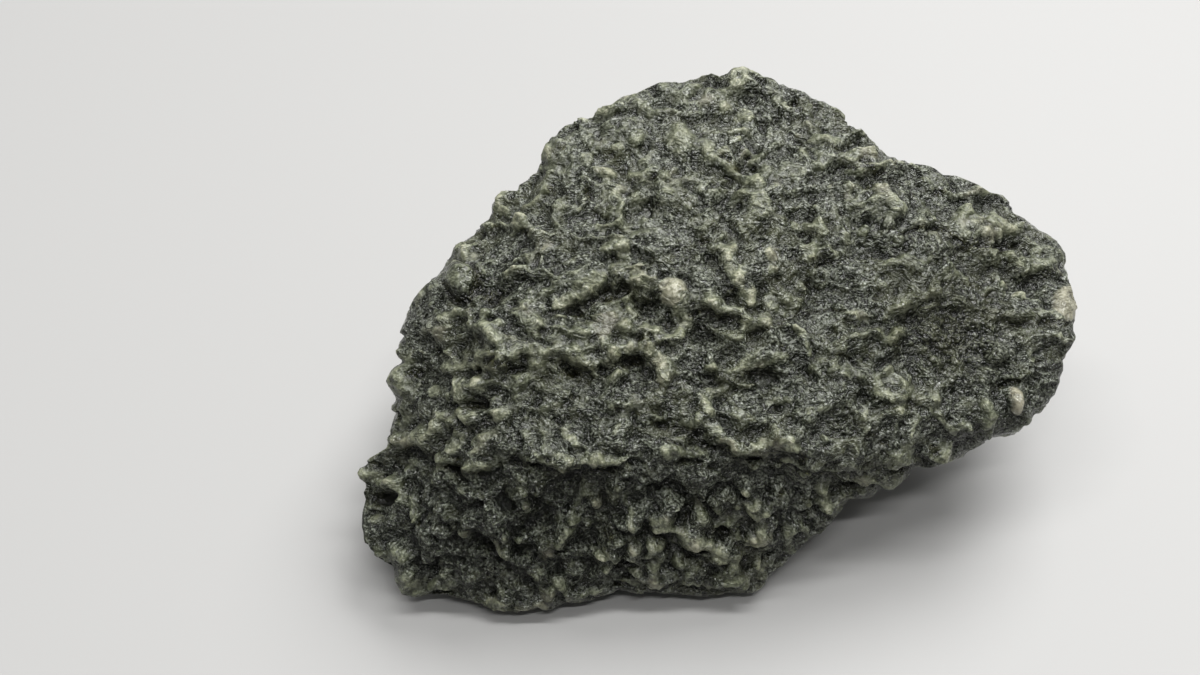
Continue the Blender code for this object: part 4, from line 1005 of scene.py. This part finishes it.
def grow_veins(points, rich, lumpy):
    """The random network of smooth pale crests, with knots and pits, over the whole lump."""
    crust = Crust(len(points))
    bent = points
    for size, reach, seed in VEIN_WARP:
        bent = bent + stirring(points, size, reach, seed)
    tint = np.full(len(points), HUE_BASE)
    for size, depth, seed in HUE_SWELLS:
        tint = tint + depth * swell(points, size, SEED + seed)
    marks = np.zeros(len(points))
    for size, rise, cover, seed in VEIN_LEVELS:
        crest = crests(bent, size, SEED + seed)
        crest = crests(bent + np.outer(CREST_LEAN * size * crest, AXIS_V), size, SEED + seed)
        crust.base += rise * (1.0 - lumpy) * (crest - CREST_MIDDLE)
        marks += cover * crest
    marks /= sum(cover for _, _, cover, _ in VEIN_LEVELS)
    for size, rise, seed in HUMMOCKS:
        bump = np.minimum(np.abs(swell(bent, size, SEED + seed)), HUMMOCK_TOP)
        crust.base += rise * (HUMMOCK_SHARE + lumpy) * (bump - HUMMOCK_MIDDLE)
    size, depth, seed = PATCH
    patch = depth * swell(points, size, SEED + seed) + rich
    crust.paint(VEIN_COVER * ease(marks + PATCH_SHARE * patch, *VEIN_FADE), tint)
    size, reach, rise, seed, draw_seed = KNOTS
    first, _, nearest = scattered(bent, size, SEED + seed)
    draw = lottery(np.floor(nearest).astype(np.int64), SEED + draw_seed)
    knot = np.clip(1.0 - (first / reach) ** 2, 0.0, None)
    drawn = draw > KNOT_DRAW
    crust.top(np.where(drawn, rise * knot, 0.0))
    crust.paint(np.where(drawn, KNOT_COVER * ease(knot, 0.0, KNOT_RISE), 0.0), tint + KNOT_TINT)
    crust.dig(PIT_DEPTH, np.where(draw < PIT_DRAW, knot, 0.0))
    return crust


def random_relief(points, hidden):
    """Height of the random relief; hidden is 1 on the hidden sides and 0 on the broad one."""
    height = np.zeros(len(points))
    bent = points + stirring(points, *BENDING)
    for size, rise, share, seed in SWELLS:
        height += rise * (share + (1.0 - share) * hidden) * swell(bent, size, SEED + seed)
    size, slope, seed, lean_seed = BREAKS
    seat = scattered(bent, size, SEED + seed)[2]
    cell = np.floor(seat).astype(np.int64)
    lean = np.stack([lottery(cell, SEED + lean_seed + axis) * 2.0 - 1.0 for axis in range(3)],
                    axis=1)
    height += hidden * slope * np.sum(lean * (bent - seat * size), axis=1)
    size, rise, seed = KNOBS
    first, second, _ = scattered(bent, size, SEED + seed)
    crease = ease(second - first, 0.0, KNOB_CREASE) - 0.5
    height += rise * (KNOB_SHARE + (1.0 - KNOB_SHARE) * hidden) * crease
    return height


def grain_relief(points):
    """Height of the crystalline grain of the dark crust, drawn out into short fibres."""
    along = np.array(FIBRE_ALONG) / np.linalg.norm(FIBRE_ALONG)
    swirl = points + stirring(points, *GRAIN_SWIRL)
    fibres = swirl - FIBRE_DRAWN * np.outer(swirl @ along, along)
    height = np.zeros(len(points))
    for size, rise, seed in GRAINS:
        height += rise * swell(fibres, size, SEED + seed)
    return height


def rim_radius(angle, softening):
    """Distance from the outline's middle to the outline, its small bays softened away."""
    line = np.array(OUTLINE) - OUTLINE_CENTRE
    turn = np.arctan2(line[:, 1], line[:, 0])
    order = np.argsort(turn)
    shifts = np.linspace(-1.0, 1.0, SOFTENING_STEPS) * softening
    radius = np.hypot(line[:, 0], line[:, 1])
    return np.mean([np.interp(angle + shift, turn[order], radius[order], period=2.0 * math.pi)
                    for shift in shifts], axis=0)


def pillow(ball):
    """Turns a unit ball, its pole towards the eye, into the lump before it is broken."""
    angle = np.arctan2(ball[:, 1], ball[:, 0])
    front = ball[:, 2] > 0.0
    depth, across, deep, narrowing = np.where(front, np.array(FRONT_SWELL)[:, None],
                                              np.array(BACK_SWELL)[:, None])
    reach = rim_radius(angle, OUTLINE_SOFTENING) * np.hypot(ball[:, 0], ball[:, 1]) ** across
    reach *= 1.0 - narrowing * np.abs(ball[:, 2])
    u = reach * np.cos(angle)
    v = reach * np.sin(angle)
    w = RIM_DEPTH + RIM_LEAN[0] * u + RIM_LEAN[1] * v
    w += np.sign(ball[:, 2]) * depth * np.abs(ball[:, 2]) ** deep
    return from_view(u + OUTLINE_CENTRE[0], v + OUTLINE_CENTRE[1], w)


def break_off(shape, direction, point):
    """Cuts the shape flat at a point and closes the cut."""
    everything = shape.verts[:] + shape.edges[:] + shape.faces[:]
    cut = bmesh.ops.bisect_plane(shape, geom=everything, plane_co=point, plane_no=direction,
                                 clear_outer=True)
    edges = [item for item in cut["geom_cut"] if isinstance(item, bmesh.types.BMEdge)]
    if edges:
        bmesh.ops.holes_fill(shape, edges=edges, sides=0)


def rough_block():
    """The lump broken into its broad faces, as an object."""
    shape = bmesh.new()
    bmesh.ops.create_icosphere(shape, subdivisions=BALL_FINENESS, radius=1.0)
    ball = np.array([vertex.co for vertex in shape.verts])
    for vertex, spot in zip(shape.verts, pillow(ball)):
        vertex.co = spot
    for direction, point in FRONT_FACES:
        outward = direction[0] * AXIS_U + direction[1] * AXIS_V + direction[2] * AXIS_W
        break_off(shape, outward, from_view(*np.array(point)[:, None])[0])
    for direction, point in HIDDEN_FACES + (REST_FACE,):
        break_off(shape, direction, point)
    mesh = bpy.data.meshes.new(NAME)
    shape.to_mesh(mesh)
    shape.free()
    block = bpy.data.objects.new(NAME, mesh)
    bpy.context.collection.objects.link(block)
    return block


def make_real(thing):
    """Turns the result of the object's modifiers into its own mesh."""
    graph = bpy.context.evaluated_depsgraph_get()
    old = thing.data
    mesh = bpy.data.meshes.new_from_object(thing.evaluated_get(graph))
    thing.modifiers.clear()
    thing.data = mesh
    bpy.data.meshes.remove(old)
    mesh.name = NAME


def cover_evenly(block):
    """Covers the block with an even mesh, wears its edges and refines it."""
    cover = block.modifiers.new("even skin", "REMESH")
    cover.mode = "VOXEL"
    cover.voxel_size = SKIN_STEP
    wear = block.modifiers.new("worn edges", "SMOOTH")
    wear.factor = 0.5
    wear.iterations = SKIN_WEAR
    finer = block.modifiers.new("finer skin", "SUBSURF")
    finer.levels = SKIN_REFINEMENT
    finer.render_levels = SKIN_REFINEMENT
    make_real(block)


def read_points(mesh, kind="co", of="vertices"):
    """The vertices' places, or another vector of theirs, as rows of x, y and z."""
    items = getattr(mesh, of)
    flat = np.empty(len(items) * 3)
    items.foreach_get(kind, flat)
    return flat.reshape(-1, 3)


def write_points(mesh, points):
    """Moves the vertices to the given places."""
    mesh.vertices.foreach_set("co", points.ravel())
    mesh.update()


def evened(ring):
    """A closed ring of values, each evened out over its neighbours."""
    for _ in range(EDGE_EVENING):
        ring = 0.5 * ring + 0.25 * (np.roll(ring, 1) + np.roll(ring, -1))
    return ring


def fit_outline(points, softening, band, grip):
    """Moves the lump's edge, as the eye sees it, onto the outline.

    Only points in the outer band move, and those far in front of or behind the
    edge move less, so the bays of the outline do not run down the flanks.
    """
    u, v, w = to_view(points)
    u = u - OUTLINE_CENTRE[0]
    v = v - OUTLINE_CENTRE[1]
    angle = np.arctan2(v, u)
    radius = np.hypot(u, v)
    slot = (angle / (2.0 * math.pi) % 1.0 * EDGE_SLOTS).astype(int) % EDGE_SLOTS
    order = np.lexsort((radius, slot))
    ends = np.searchsorted(slot[order], np.arange(EDGE_SLOTS), side="right") - 1
    middles = (np.arange(EDGE_SLOTS) + 0.5) / EDGE_SLOTS * 2.0 * math.pi
    edge = np.interp(angle, middles, evened(radius[order][ends]), period=2.0 * math.pi)
    depth = np.interp(angle, middles, evened(w[order][ends]), period=2.0 * math.pi)
    wanted = rim_radius(angle, softening)
    hold = ease(radius / edge, band, 1.0) * np.exp(-((w - depth) / grip) ** 2)
    moved = radius * (1.0 + (wanted / edge - 1.0) * hold)
    stretch = np.minimum(moved, wanted) / radius
    return from_view(OUTLINE_CENTRE[0] + u * stretch, OUTLINE_CENTRE[1] + v * stretch, w)


def softened(mesh, values, rounds):
    """Values of the vertices, evened out over their neighbours."""
    ends = np.empty(len(mesh.edges) * 2, dtype=np.int32)
    mesh.edges.foreach_get("vertices", ends)
    start, end = ends.reshape(-1, 2).T
    count = len(values)
    links = np.bincount(start, minlength=count) + np.bincount(end, minlength=count)
    for _ in range(rounds):
        total = (np.bincount(start, weights=values[end], minlength=count)
                 + np.bincount(end, weights=values[start], minlength=count))
        values = 0.5 * values + 0.5 * total / links
    return values


def keep_values(mesh, name, kind, part, values):
    """Keeps values on the vertices under a name."""
    kept = mesh.attributes.new(name, kind, "POINT")
    kept.data.foreach_set(part, values.astype(np.float32).ravel())


def carve(lump):
    """Gives the even skin its relief and keeps the marks that its colour follows."""
    mesh = lump.data
    smooth = fit_outline(read_points(mesh), OUTLINE_SOFTENING, EDGE_BANDS[0], EDGE_GRIP[0])
    write_points(mesh, smooth)
    outward = read_points(mesh, "vector", "vertex_normals")
    u, v, _ = to_view(smooth)
    sight = FRAME_CENTRE + EYE_DISTANCE * AXIS_W - smooth
    sight /= np.linalg.norm(sight, axis=1)[:, None]
    toward = np.sum(outward * sight, axis=1)
    facing = ease(toward, *FACING_FADE)
    hidden = 1.0 - facing
    held = ease(toward, *DRAWN_FADE)
    seen = held > LEAST
    drawn = Crust(int(np.count_nonzero(seen)))
    draw_broad_side(drawn, u[seen], v[seen])
    rich = facing * patchwork(u, v, RICH_PATCHES) + hidden * HIDDEN_RICH
    # damp and glossier patches; their darker tint is partly painted shade on the lower faces
    damp_and_shade = facing * (DAMP_AND_SHADE_BASE + patchwork(u, v, DAMP_AND_SHADE_PATCHES)) + hidden * DAMP_AND_SHADE_BASE
    lumpy = facing * patchwork(u, v, LUMPY_PATCHES) + hidden * HIDDEN_LUMPY
    lumpy = np.clip(lumpy, 0.0, 1.0)
    calm = held * np.clip(patchwork(u, v, CALM_PATCHES), 0.0, 1.0)
    grown = grow_veins(smooth, rich, lumpy)
    height = random_relief(smooth, hidden)
    height += ((GROWN_SHARE + (1.0 - GROWN_SHARE) * hidden) * (1.0 - calm)
               * (grown.base + grown.crest))
    height[seen] += held[seen] * (drawn.base + drawn.crest)
    pale = grown.pale
    tint = grown.tint
    shade = grown.shade
    cover = held[seen] * drawn.pale
    tint[seen] = np.where(cover > pale[seen], drawn.tint, tint[seen])
    pale[seen] = np.maximum(pale[seen], cover)
    # painted shade of what is drawn joins that of the random pits
    shade[seen] = np.maximum(shade[seen], held[seen] * drawn.shade)
    hollow = softened(mesh, height, HOLLOW_ROUNDS) - height
    raised = ease(-hollow + RAISED_RICH * rich - RAISED_LUMPY * lumpy, *RAISED_FADE)
    # pale crust is thinned where painted shade lies
    pale = np.maximum(pale, RAISED_COVER * raised) * (1.0 - SHADE_BARES * shade) * mottled(smooth)
    pale *= 1.0 - LOW_BARES * ease(hollow, *LOW_FADE)
    height += grain_relief(smooth) * (1.0 - PALE_SMOOTHS * np.clip(pale, 0.0, 1.0))
    height = HIGHEST * np.tanh(height / HIGHEST)
    height *= 1.0 - RIM_CALM * (1.0 - ease(np.abs(toward), *RIM_FADE))
    off_rest = ease(smooth[:, 2], *REST_FADE)
    points = smooth + outward * (height * off_rest)[:, None]
    points = fit_outline(points, 0.0, EDGE_BANDS[1], EDGE_GRIP[1])
    points[:, 2] = np.maximum(points[:, 2], 0.0)
    write_points(mesh, points)
    axes = np.stack((AXIS_U, AXIS_V, AXIS_W), axis=1)
    # marks for the colour: pale crust, tint, painted shade, and damp with its painted shade
    rows = np.clip(np.stack((pale, tint, shade, damp_and_shade), axis=1), 0.0, 1.0)
    keep_values(mesh, VEIN_AND_SHADE_MARKS, "FLOAT_COLOR", "color", rows)
    keep_values(mesh, HOLLOW_MARKS, "FLOAT", "value", hollow)
    keep_values(mesh, FACING_MARKS, "FLOAT", "value", facing)
    keep_values(mesh, SMOOTH_PLACE, "FLOAT_VECTOR", "vector", smooth @ axes)
    keep_values(mesh, SMOOTH_WAY, "FLOAT_VECTOR", "vector", outward @ axes)


def thin_out(lump, faces):
    """Leaves about the given number of triangles, most of them on the broad side."""
    have = sum(len(face.vertices) - 2 for face in lump.data.polygons)
    facing = np.empty(len(lump.data.vertices))
    lump.data.attributes[FACING_MARKS].data.foreach_get("value", facing)
    group = lump.vertex_groups.new(name="thinned")
    for step in range(len(THINNING)):
        chosen = np.flatnonzero(np.floor(facing * (len(THINNING) - LEAST)) == step)
        group.add(chosen.tolist(), THINNING[step], "REPLACE")
    fewer = lump.modifiers.new("fewer faces", "DECIMATE")
    fewer.ratio = min(1.0, faces / have)
    fewer.vertex_group = group.name
    fewer.vertex_group_factor = 1.0
    make_real(lump)
    lump.vertex_groups.clear()


def take_rows(mesh, name):
    """Rows of a vector kept on the vertices, which is then removed."""
    kept = mesh.attributes[name]
    flat = np.empty(len(mesh.vertices) * 3, dtype=np.float32)
    kept.data.foreach_get("vector", flat)
    mesh.attributes.remove(kept)
    return flat.reshape(-1, 3)


def lay_flat(mesh):
    """Gives the mesh a flat map, in charts that look at the smooth form along its main ways."""
    place = take_rows(mesh, SMOOTH_PLACE)
    way = take_rows(mesh, SMOOTH_WAY)
    corner = np.empty(len(mesh.loops), dtype=np.int32)
    mesh.loops.foreach_get("vertex_index", corner)
    first = np.empty(len(mesh.polygons), dtype=np.int32)
    mesh.polygons.foreach_get("loop_start", first)
    count = np.diff(np.append(first, len(corner)))
    facing = np.add.reduceat(way[corner], first) @ np.array([row[0] for row in CHARTS]).T
    chart = np.repeat(np.argmax(facing, axis=1), count)
    flat = np.zeros((len(corner), 2))
    for index, (_, across, up, (left, bottom, right, top)) in enumerate(CHARTS):
        inside = chart == index
        spread = place[corner[inside]] @ np.array((across, up)).T
        low = spread.min(axis=0)
        part = (spread - low) / (spread.max(axis=0) - low)
        size = np.array((right - left, top - bottom)) - 2.0 * CHART_GAP
        flat[inside] = np.array((left, bottom)) + CHART_GAP + part * size
    layer = mesh.uv_layers.new(name=MAP_NAME)
    layer.uv.foreach_set("vector", flat.astype(np.float32).ravel())


def settle(lump, low, high):
    """Fits the lump in millimetres into the CAD box in metres, and returns its origin."""
    points = read_points(lump.data)
    lowest = points.min(axis=0)
    highest = points.max(axis=0)
    part = (points - lowest) / (highest - lowest)
    write_points(lump.data, np.array(low) + part * (np.array(high) - np.array(low)))
    middle = (lowest + highest) / 2.0
    return np.array((middle[0], middle[1], lowest[2]))


def add_node(tree, kind, inputs=None, **settings):
    """A shader node with its settings and its inputs, each a value or a node's output."""
    new = tree.nodes.new(kind)
    for name, value in settings.items():
        setattr(new, name, value)
    for socket, value in (inputs or {}).items():
        if isinstance(value, bpy.types.NodeSocket):
            tree.links.new(value, new.inputs[socket])
        else:
            new.inputs[socket].default_value = value
    return new


def calc(tree, operation, *values):
    """The result of a sum on values or outputs."""
    inputs = dict(enumerate(values))
    return add_node(tree, "ShaderNodeMath", inputs, operation=operation).outputs[0]


def mix(tree, share, first, second, blend="MIX"):
    """One colour into another by a share."""
    new = add_node(tree, "ShaderNodeMix", {0: share, 6: first, 7: second}, data_type="RGBA",
                   blend_type=blend)
    return new.outputs[2]


def ramp(tree, value, stops):
    """Colours along a value."""
    new = add_node(tree, "ShaderNodeValToRGB", {0: value})
    line = new.color_ramp.elements
    for _ in range(len(stops) - len(line)):
        line.new(1.0)
    for stop, (place, colour) in zip(line, stops):
        stop.position = place
        stop.color = (*colour, 1.0)
    return new.outputs[0]


def smooth_step(tree, value, start, end):
    """Smooth step from 0 at the start to 1 at the end, as an output."""
    new = add_node(tree, "ShaderNodeMapRange", {0: value, 1: start, 2: end},
                   interpolation_type="SMOOTHSTEP")
    return new.outputs[0]


def scaled(tree, vector, share):
    """A vector or colour times a share."""
    new = add_node(tree, "ShaderNodeVectorMath", {0: vector, "Scale": share}, operation="SCALE")
    return new.outputs[0]


def between(tree, first, second, share):
    """The first value, giving way to the second by a share."""
    kept = calc(tree, "MULTIPLY", first, calc(tree, "SUBTRACT", 1.0, share))
    return calc(tree, "MULTIPLY_ADD", second, share, kept)


def noise(tree, place, name):
    """One of the named noises, over places in millimetres."""
    scale, detail, rough, seed = NOISES[name]
    inputs = {"Vector": place, "W": seed, "Scale": scale, "Detail": detail, "Roughness": rough}
    return add_node(tree, "ShaderNodeTexNoise", inputs, noise_dimensions="4D")


def centred(tree, value, share):
    """A value of about 0 to 1, made to swing about 0 by a share."""
    return calc(tree, "MULTIPLY", calc(tree, "SUBTRACT", value, 0.5), share)


def sum_up(tree, start, parts, shares):
    """A value or output, plus the swing of each named part by its share."""
    for name, share in shares.items():
        start = calc(tree, "ADD", centred(tree, parts[name], share), start)
    return start


def crust_parts(tree):
    """The marks on the mesh and the noises that the crust is made of, as outputs by name."""
    marks = add_node(tree, "ShaderNodeAttribute", attribute_name=VEIN_AND_SHADE_MARKS).outputs
    split = add_node(tree, "ShaderNodeSeparateColor", {0: marks["Color"]}).outputs
    hollow = add_node(tree, "ShaderNodeAttribute", attribute_name=HOLLOW_MARKS).outputs["Fac"]
    parts = {"pale": split[0], "tint": split[1], "shade": split[2], "damp_and_shade": marks["Alpha"],
             "hollow": hollow}
    where = add_node(tree, "ShaderNodeTexCoord").outputs["Object"]
    place = scaled(tree, where, 1.0 / MM)
    wind = add_node(tree, "ShaderNodeVectorMath",
                    {0: noise(tree, place, "wind").outputs["Color"], 1: (0.5, 0.5, 0.5)},
                    operation="SUBTRACT").outputs[0]
    swirl = add_node(tree, "ShaderNodeVectorMath", {0: place, 1: scaled(tree, wind, WIND_REACH)},
                     operation="ADD").outputs[0]
    fibres = add_node(tree, "ShaderNodeMapping", {"Vector": swirl, "Rotation": FIBRE_TURN,
                                                  "Scale": FIBRE_SCALE}).outputs[0]
    for name in ("grainy", "mid", "broad", "grit", "warm"):
        parts[name] = noise(tree, place, name).outputs[0]
    for name in ("fibrous", "crumb"):
        parts[name] = noise(tree, fibres, name).outputs[0]
    granular = smooth_step(tree, parts["damp_and_shade"], *GRANULAR)
    parts["fine"] = between(tree, parts["fibrous"], parts["grainy"], granular)
    parts["seam"] = calc(tree, "ABSOLUTE", centred(tree, parts["crumb"], SEAM_SPREAD))
    flecks = add_node(tree, "ShaderNodeTexVoronoi", {"Vector": place, "Scale": FLECK_SCALE})
    lots = add_node(tree, "ShaderNodeSeparateColor", {0: flecks.outputs["Color"]}).outputs
    parts["fleck"] = lots[0]
    parts["gap"] = flecks.outputs["Distance"]
    return parts


def dark_colour(tree, parts):
    """Colour of the dark crystalline crust, with olive stains, a damp tint that is partly painted
    shade, and painted glints as bright flecks.
    """
    seams = smooth_step(tree, parts["seam"], *SEAM_FADE)
    light = sum_up(tree, DARK_BASE, parts, DARK_SHARES)
    dark = ramp(tree, calc(tree, "MULTIPLY_ADD", seams, SEAM_LIGHT, light), DARK_STOPS)
    stain = smooth_step(tree, sum_up(tree, 0.0, parts, STAIN_SHARES), *STAIN_FADE)
    dark = mix(tree, calc(tree, "MULTIPLY", stain, STAIN_DEPTH), dark, OLIVE)
    # partly painted shade: damp patches darken the dark crust, most towards the bottom of the face
    dark = mix(tree, parts["damp_and_shade"], dark, DAMP_AND_SHADE_TINT, "MULTIPLY")
    # painted glints: a few grains turned to bright flecks, more where damp
    spark = calc(tree, "MULTIPLY_ADD", parts["damp_and_shade"], GLINT_DAMP, parts["fleck"])
    spark = calc(tree, "MULTIPLY", smooth_step(tree, spark, *GLINT_FADE),
                 smooth_step(tree, parts["gap"], *GLINT_EDGE))
    return mix(tree, calc(tree, "MULTIPLY", spark, GLINT_DEPTH), dark, PAINTED_GLINT)


def pale_colour(tree, parts):
    """Colour of the smooth waxy crust, from olive through cream to a warm blush."""
    raised = calc(tree, "MAXIMUM", calc(tree, "MULTIPLY", parts["hollow"], -1.0), 0.0)
    tint = sum_up(tree, parts["tint"], parts, TINT_SHARES)
    tint = calc(tree, "MULTIPLY_ADD", raised, TINT_RAISED, tint)
    # partly painted shade: damp patches darken the pale crust's tint
    tint = calc(tree, "MULTIPLY_ADD", parts["damp_and_shade"], TINT_DAMP_AND_SHADE, tint)
    waxy = ramp(tree, calc(tree, "ADD", tint, TINT_OFFSET), WAXY_STOPS)
    blush = 0.0
    for name, (start, end, share) in (("warm", BLUSH_PATCHES), ("tint", BLUSH_TINTS)):
        patch = calc(tree, "MULTIPLY", smooth_step(tree, parts[name], start, end), share)
        blush = calc(tree, "MAXIMUM", blush, patch)
    return mix(tree, blush, waxy, PINKISH)


def crust_colour(tree, parts, cover):
    """Both colours by the pale cover, dimmed by painted shade, and lightened from hollow to crest as
    painted light and shade.
    """
    colour = mix(tree, calc(tree, "MULTIPLY", cover, COVER_DEPTH), dark_colour(tree, parts),
                 pale_colour(tree, parts))
    # painted shade under ledges, at the foot of ridges and in hollows, pits and cracks, with fine
    # noise
    dim = calc(tree, "MULTIPLY_ADD", parts["fine"], DIM_FINE, parts["shade"])
    colour = mix(tree, smooth_step(tree, dim, *DIM_FADE), colour, SHADE_TINT, "MULTIPLY")
    # painted light and shade: crests lighter, hollows darker, and darker still where damp
    low, high = FORM_RANGE
    deep = calc(tree, "MULTIPLY_ADD", parts["damp_and_shade"], HOLLOW_DAMP_AND_SHADE, HOLLOW_LIGHT)
    form = add_node(tree, "ShaderNodeMapRange",
                    {0: parts["hollow"], 1: low, 2: high, 3: CREST_LIGHT, 4: deep}).outputs[0]
    return scaled(tree, colour, form)


def crust_height(tree, parts, cover):
    """Height of the bump: sharp chips of the dark crust, softer ones of the pale crust."""
    chips = sum_up(tree, 0.0, parts, CHIP_SHARES)
    chips = calc(tree, "MULTIPLY_ADD", parts["seam"], CHIP_SEAM, chips)
    chips = calc(tree, "MULTIPLY", chips,
                 calc(tree, "MULTIPLY_ADD", parts["damp_and_shade"], CHIP_DAMP, CHIP_BASE))
    chips = calc(tree, "MULTIPLY_ADD", parts["fleck"], CHIP_FLECK, chips)
    wax = sum_up(tree, 0.0, parts, WAX_SHARES)
    wax = calc(tree, "MULTIPLY_ADD", parts["seam"], WAX_SEAM, wax)
    return sum_up(tree, between(tree, chips, wax, cover), parts, UNDER_SHARES)


def crust_material():
    """Dark crystalline crust with smooth waxy olive to cream veins."""
    crust = bpy.data.materials.new("grey green stony crust")
    crust.use_nodes = True
    tree = crust.node_tree
    surface = tree.nodes["Principled BSDF"]
    parts = crust_parts(tree)
    cover = smooth_step(tree, sum_up(tree, parts["pale"], parts, COVER_SHARES), *COVER_FADE)
    tree.links.new(crust_colour(tree, parts, cover), surface.inputs["Base Color"])
    rough = sum_up(tree, ROUGH_BASE, parts, ROUGH_SHARES)
    rough = calc(tree, "MULTIPLY_ADD", cover, ROUGH_COVER, rough)
    rough = calc(tree, "MULTIPLY_ADD", parts["damp_and_shade"], ROUGH_DAMP, rough)
    tree.links.new(rough, surface.inputs["Roughness"])
    surface.inputs["Metallic"].default_value = 0.0
    surface.inputs["IOR"].default_value = IOR
    surface.inputs["Specular IOR Level"].default_value = SPECULAR
    bump = add_node(tree, "ShaderNodeBump", {"Strength": 1.0, "Distance": MM,
                                             "Height": crust_height(tree, parts, cover)})
    tree.links.new(bump.outputs[0], surface.inputs["Normal"])
    return crust


def pale_floor():
    """A plain pale floor under and round the lump."""
    matt = bpy.data.materials.new("pale floor")
    matt.use_nodes = True
    surface = matt.node_tree.nodes["Principled BSDF"]
    surface.inputs["Base Color"].default_value = (*FLOOR_COLOUR, 1.0)
    surface.inputs["Roughness"].default_value = FLOOR_ROUGHNESS
    half = FLOOR_HALF
    mesh = bpy.data.meshes.new("floor")
    mesh.from_pydata([(-half, -half, 0.0), (half, -half, 0.0), (half, half, 0.0),
                      (-half, half, 0.0)], [], [(0, 1, 2, 3)])
    mesh.materials.append(matt)
    floor = bpy.data.objects.new("floor", mesh)
    bpy.context.collection.objects.link(floor)
    return floor


def soft_lamp(name, place, size, power, shape):
    """An area lamp at a place in metres that shines at the lump."""
    light = bpy.data.lights.new(name, "AREA")
    light.shape = shape
    light.size = size[0]
    light.size_y = size[1]
    light.energy = power
    lamp = bpy.data.objects.new(name, light)
    lamp.location = place
    lamp.rotation_mode = "QUATERNION"
    lamp.rotation_quaternion = (Vector(LAMP_AIM) - Vector(place)).to_track_quat("-Z", "Y")
    bpy.context.collection.objects.link(lamp)


def studio():
    """A sky that is brighter behind the lump, and the lamps."""
    world = bpy.data.worlds.new("pale surround")
    world.use_nodes = True
    tree = world.node_tree
    sky = tree.nodes["Background"]
    sky.inputs["Color"].default_value = (*SKY_COLOUR, 1.0)
    way = add_node(tree, "ShaderNodeTexCoord").outputs["Generated"]
    back = add_node(tree, "ShaderNodeSeparateXYZ", {0: way}).outputs["Y"]
    front_light, back_light = SKY_STRENGTH
    strength = add_node(tree, "ShaderNodeMapRange", {0: back, 1: -SKY_SPREAD, 2: SKY_SPREAD,
                                                     3: front_light, 4: back_light})
    tree.links.new(strength.outputs[0], sky.inputs["Strength"])
    bpy.context.scene.world = world
    for name, place, size, power, shape in LAMPS:
        soft_lamp(name, place, size, power, shape)


def eye_of_photograph(home):
    """The camera, at the viewing angle and distance of the photograph."""
    data = bpy.data.cameras.new("camera")
    data.lens = LENS
    data.sensor_width = SENSOR
    data.clip_start = NEAREST
    data.clip_end = FARTHEST
    camera = bpy.data.objects.new("camera", data)
    camera.location = (FRAME_CENTRE + EYE_DISTANCE * AXIS_W - home) * MM
    camera.rotation_mode = "QUATERNION"
    camera.rotation_quaternion = Vector(-AXIS_W).to_track_quat("-Z", "Y")
    bpy.context.collection.objects.link(camera)
    bpy.context.scene.camera = camera


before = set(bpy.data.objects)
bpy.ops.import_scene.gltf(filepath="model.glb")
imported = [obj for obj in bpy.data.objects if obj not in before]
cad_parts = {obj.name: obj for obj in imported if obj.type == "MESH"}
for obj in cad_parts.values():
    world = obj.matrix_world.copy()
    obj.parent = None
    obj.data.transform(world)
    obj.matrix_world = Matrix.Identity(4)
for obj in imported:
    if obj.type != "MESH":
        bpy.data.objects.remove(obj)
cad_low, cad_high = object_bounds()

meteorite = rough_block()
cover_evenly(meteorite)
carve(meteorite)
thin_out(meteorite, FACES_LEFT)
lay_flat(meteorite.data)
home = settle(meteorite, cad_low, cad_high)
for face in meteorite.data.polygons:
    face.use_smooth = True
meteorite.data.materials.append(crust_material())
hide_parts("meteorite")
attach(meteorite, "root")

pale_floor()
studio()
eye_of_photograph(home)
bpy.context.scene.view_settings.view_transform = "Standard"
